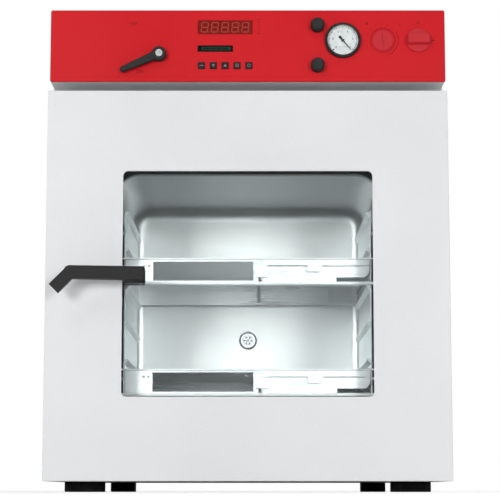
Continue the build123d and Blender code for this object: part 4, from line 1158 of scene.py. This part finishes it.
@dataclass
class Rack:
    """Bar faces that carry a painted highlight, screws and the clamp's spring of one expansion
    rack.
    """

    name: str
    level: float
    bar_front: float = 80.0
    web_front: float = 84.0
    clamp_front: float = 78.0
    width: float = 408.0
    bar_heights: tuple[Point, ...] = ((0.0, 4.5), (40.8, 43.2))
    face: float = 0.2
    screw_places: tuple[Point, ...] = ((-166.5, 31.0), (-159.5, 31.0))
    screw_radius: float = 2.3
    spring_place: Point = (24.0, 8.0)
    spring_turns: int = 6
    spring_pitch: float = 2.3
    spring_width: float = 6.0
    spring_wire: float = 1.0

    def build(self) -> None:
        """Builds the pieces, which all ride on the rack."""
        maker = PieceMaker(f"{self.name}_rack", f"{self.name}_rack")
        # the bars' faces are thin pale plates of the same aluminium: a painted highlight
        bars = [
            block(0, self.level + (low + high) / 2, self.width, high - low)
            for low, high in self.bar_heights
        ]
        layer = Layer(self.bar_front, Palette.bar_highlight, "rack_steel", self.face)
        maker.plates("painted_bar_highlights", bars, layer)
        places = [(x, self.level + z) for x, z in self.screw_places]
        r = self.screw_radius
        profile = [(0, 0.7), (0.4 * r, 0.7), (0.5 * r, 1.3), (0.85 * r, 1.1), (r, 0.4), (r, 0)]
        layer = Layer(self.web_front, Palette.plated, "plated_steel")
        maker.turned("web_screws", places, profile, layer, 16)
        x, z = self.spring_place
        pitch = self.spring_pitch
        levels = [self.level + z + turn * pitch for turn in range(self.spring_turns)]
        turns = [round_block(x, z, self.spring_width, pitch / 2, pitch / 5) for z in levels]
        layer = Layer(self.clamp_front, Palette.plated, "spring_steel", self.spring_wire)
        maker.plates("clamp_spring", turns, layer)


@dataclass
class Baffle:
    """Fine holes of the disc over the rear port, drawn as black dots of painted shade."""

    centre: Point = (0.0, 269.4)
    disc_front: float = 395.0
    hole_radius: float = 0.6
    rings: tuple[tuple[float, int], ...] = ((3.1, 6), (8.4, 18))

    def build(self) -> None:
        """Builds black dots where the fine holes are: painted shade for the dark inside each hole.
        """
        side = 2 * self.hole_radius
        outlines = []
        for radius, count in self.rings:
            for number in range(count):
                x, z = around(self.centre, radius, 360 * (number + 0.5) / count)
                outlines.append(round_block(x, z, side, side, self.hole_radius - 0.01))
        layer = Layer(self.disc_front, Palette.black_ink_and_hole_shade, "tank_steel")
        PieceMaker("cabinet", "baffle").plates("hole_shade_dots", outlines, layer)


@dataclass
class LeverCap:
    """Ribs of the screw cap on the vacuum lever, grey on the white cap as painted shade of its
    grooves.
    """

    centre: Point = (-140.77, 690.3)
    front: float = -16.6
    rib_places: tuple[float, ...] = (-3.0, -1.0, 1.0, 3.0)
    rib_width: float = 0.8
    rib_height: float = 6.4
    rib_rise: float = 0.3

    def build(self) -> None:
        """Builds the grey ribs, painted shade of the cap's grooves, which ride on the lever."""
        x, z = self.centre
        ribs = [
            block(x + place, z, self.rib_width, self.rib_height) for place in self.rib_places
        ]
        layer = Layer(self.front, Palette.rib_shade_grey, "white_plastic", self.rib_rise)
        PieceMaker("vacuum_lever", "lever_cap").plates("ribs", ribs, layer)


@dataclass
class Cabinet:
    """Screws of the rear panel."""

    rear_face: float = 542.0
    half_width: float = 315.5
    screw_inset: float = 9.0
    screw_rows: tuple[float, ...] = (27.5, 260.0, 510.0, 752.0)
    screw_radius: float = 3.6

    def build(self) -> None:
        """Builds the screws: a column at each side, and one in the middle above and below."""
        x = self.half_width - self.screw_inset
        places = [(side * x, z) for side in (1, -1) for z in self.screw_rows]
        places += [(0.0, self.screw_rows[0]), (0.0, self.screw_rows[-1])]
        r = self.screw_radius
        slot = [(0, -1.3), (0.28 * r, -1.3), (0.34 * r, -2.0)]
        profile = slot + [(0.8 * r, -1.7), (r, -0.8), (r, 0)]
        layer = Layer(self.rear_face, Palette.plated, "plated_steel")
        PieceMaker("cabinet", "cabinet").turned("rear_screws", places, profile, layer, 20)


@dataclass(frozen=True)
class Softbox:
    """A square softbox: its name, its place and side in metres, and its power in watts."""

    name: str
    place: Place
    side: float
    power: float

    def hang(self, aim: Place) -> None:
        """Hangs the softbox so that it looks at a point.

        Args:
            aim: The point, in metres.
        """
        data = bpy.data.lights.new(self.name, "AREA")
        data.shape = "SQUARE"
        data.size = self.side
        data.energy = self.power
        made = bpy.data.objects.new(self.name, data)
        made.location = self.place
        look = Vector(aim) - Vector(self.place)
        made.rotation_euler = look.to_track_quat("-Z", "Y").to_euler()
        bpy.context.scene.collection.objects.link(made)


@dataclass
class Studio:
    """Camera, softboxes, floor and world."""

    camera_place: Place = (0.00355, -2.804, 0.002)
    camera_tilt: float = 7.36
    lens: float = 118.3
    shift: float = 0.057
    sensor: float = 36.0
    camera_reach: float = 100.0
    aim: Place = (0.0, -0.1, 0.4)
    softboxes: tuple[Softbox, ...] = (
        Softbox("left_box", (-1.75, -4.8, 0.7), 1.1, 65),
        Softbox("right_box", (1.75, -4.8, 0.7), 1.1, 54),
        Softbox("upper_box", (-1.1, -2.3, 2.2), 0.8, 6),
        Softbox("rear_box", (1.2, 2.8, 1.6), 1.5, 20),
    )
    floor_side: float = 24.0
    floor_tone: float = 0.9
    floor_roughness: float = 0.9
    floor_lift: float = 0.42
    world_strength: float = 0.42
    front_tone: float = 0.5
    rear_tone: float = 0.95

    def build(self) -> None:
        """Builds the whole studio."""
        self.camera()
        for softbox in self.softboxes:
            softbox.hang(self.aim)
        self.floor()
        self.world()

    def camera(self) -> None:
        """Sets the camera at the height of the feet, tilted up as far as the frame needs."""
        data = bpy.data.cameras.new("camera")
        data.sensor_width = self.sensor
        data.lens = self.lens
        data.shift_y = self.shift
        data.clip_end = self.camera_reach
        made = bpy.data.objects.new("camera", data)
        made.location = self.camera_place
        made.rotation_euler = (math.radians(90 + self.camera_tilt), 0, 0)
        bpy.context.scene.collection.objects.link(made)
        bpy.context.scene.camera = made

    def floor(self) -> None:
        """Lays a pale floor that keeps the shadow, and that the camera sees a little lighter."""
        mesh = bpy.data.meshes.new("floor")
        corners = [(x, y, 0) for x, y in block(0, 0, self.floor_side, self.floor_side)]
        mesh.from_pydata(corners, [], [(0, 1, 2, 3)])
        made = bpy.data.objects.new("floor", mesh)
        bpy.context.scene.collection.objects.link(made)
        material = bpy.data.materials.new("floor_paper")
        material.use_nodes = True
        sheet = NodeSheet(material.node_tree)
        rays = sheet.node("ShaderNodeLightPath").outputs
        inputs = {
            "Base Color": (*scaled((1, 1, 1), self.floor_tone), 1),
            "Roughness": self.floor_roughness,
            "Emission Color": (1, 1, 1, 1),
            "Emission Strength": sheet.sum("MULTIPLY", rays["Is Camera Ray"], self.floor_lift),
        }
        sheet.feed(sheet.tree.nodes["Principled BSDF"], inputs)
        mesh.materials.append(material)

    def world(self) -> None:
        """Fills the world with soft light; it is plain white where it is seen, panes included."""
        world = bpy.data.worlds.new("studio_world")
        bpy.context.scene.world = world
        world.use_nodes = True
        sheet = NodeSheet(world.node_tree)
        sheet.tree.nodes.clear()
        place = sheet.node("ShaderNodeTexCoord").outputs["Generated"]
        back = sheet.node("ShaderNodeSeparateXYZ", {0: place}).outputs[1]
        tone = sheet.shade(
            sheet.range(back, -0.9, -0.1), (1.0, 1.0, 1.0), self.front_tone, self.rear_tone
        )
        soft = sheet.node("ShaderNodeBackground", {"Color": tone, "Strength": self.world_strength})
        white = sheet.node("ShaderNodeBackground", {"Color": (1, 1, 1, 1)})
        rays = sheet.node("ShaderNodeLightPath").outputs
        seen = sheet.sum("MAXIMUM", rays["Is Camera Ray"], rays["Is Transmission Ray"])
        inputs = {0: seen, 1: soft.outputs[0], 2: white.outputs[0]}
        mixed = sheet.node("ShaderNodeMixShader", inputs)
        sheet.node("ShaderNodeOutputWorld", {"Surface": mixed.outputs[0]})


def main() -> None:
    """Builds the oven's dress and its studio in order."""
    logging.basicConfig(level=logging.INFO, format="%(name)s: %(message)s")
    bpy.context.scene.view_settings.view_transform = "Standard"
    dress_nodes()
    racks = [Rack("upper", 331.8), Rack("lower", 152.4)]
    for assembly in (ControlPanel(), Gauge(), LeverCap(), *racks, Baffle(), Cabinet()):
        assembly.build()
    Studio().build()


if __name__ == "__main__":
    main()
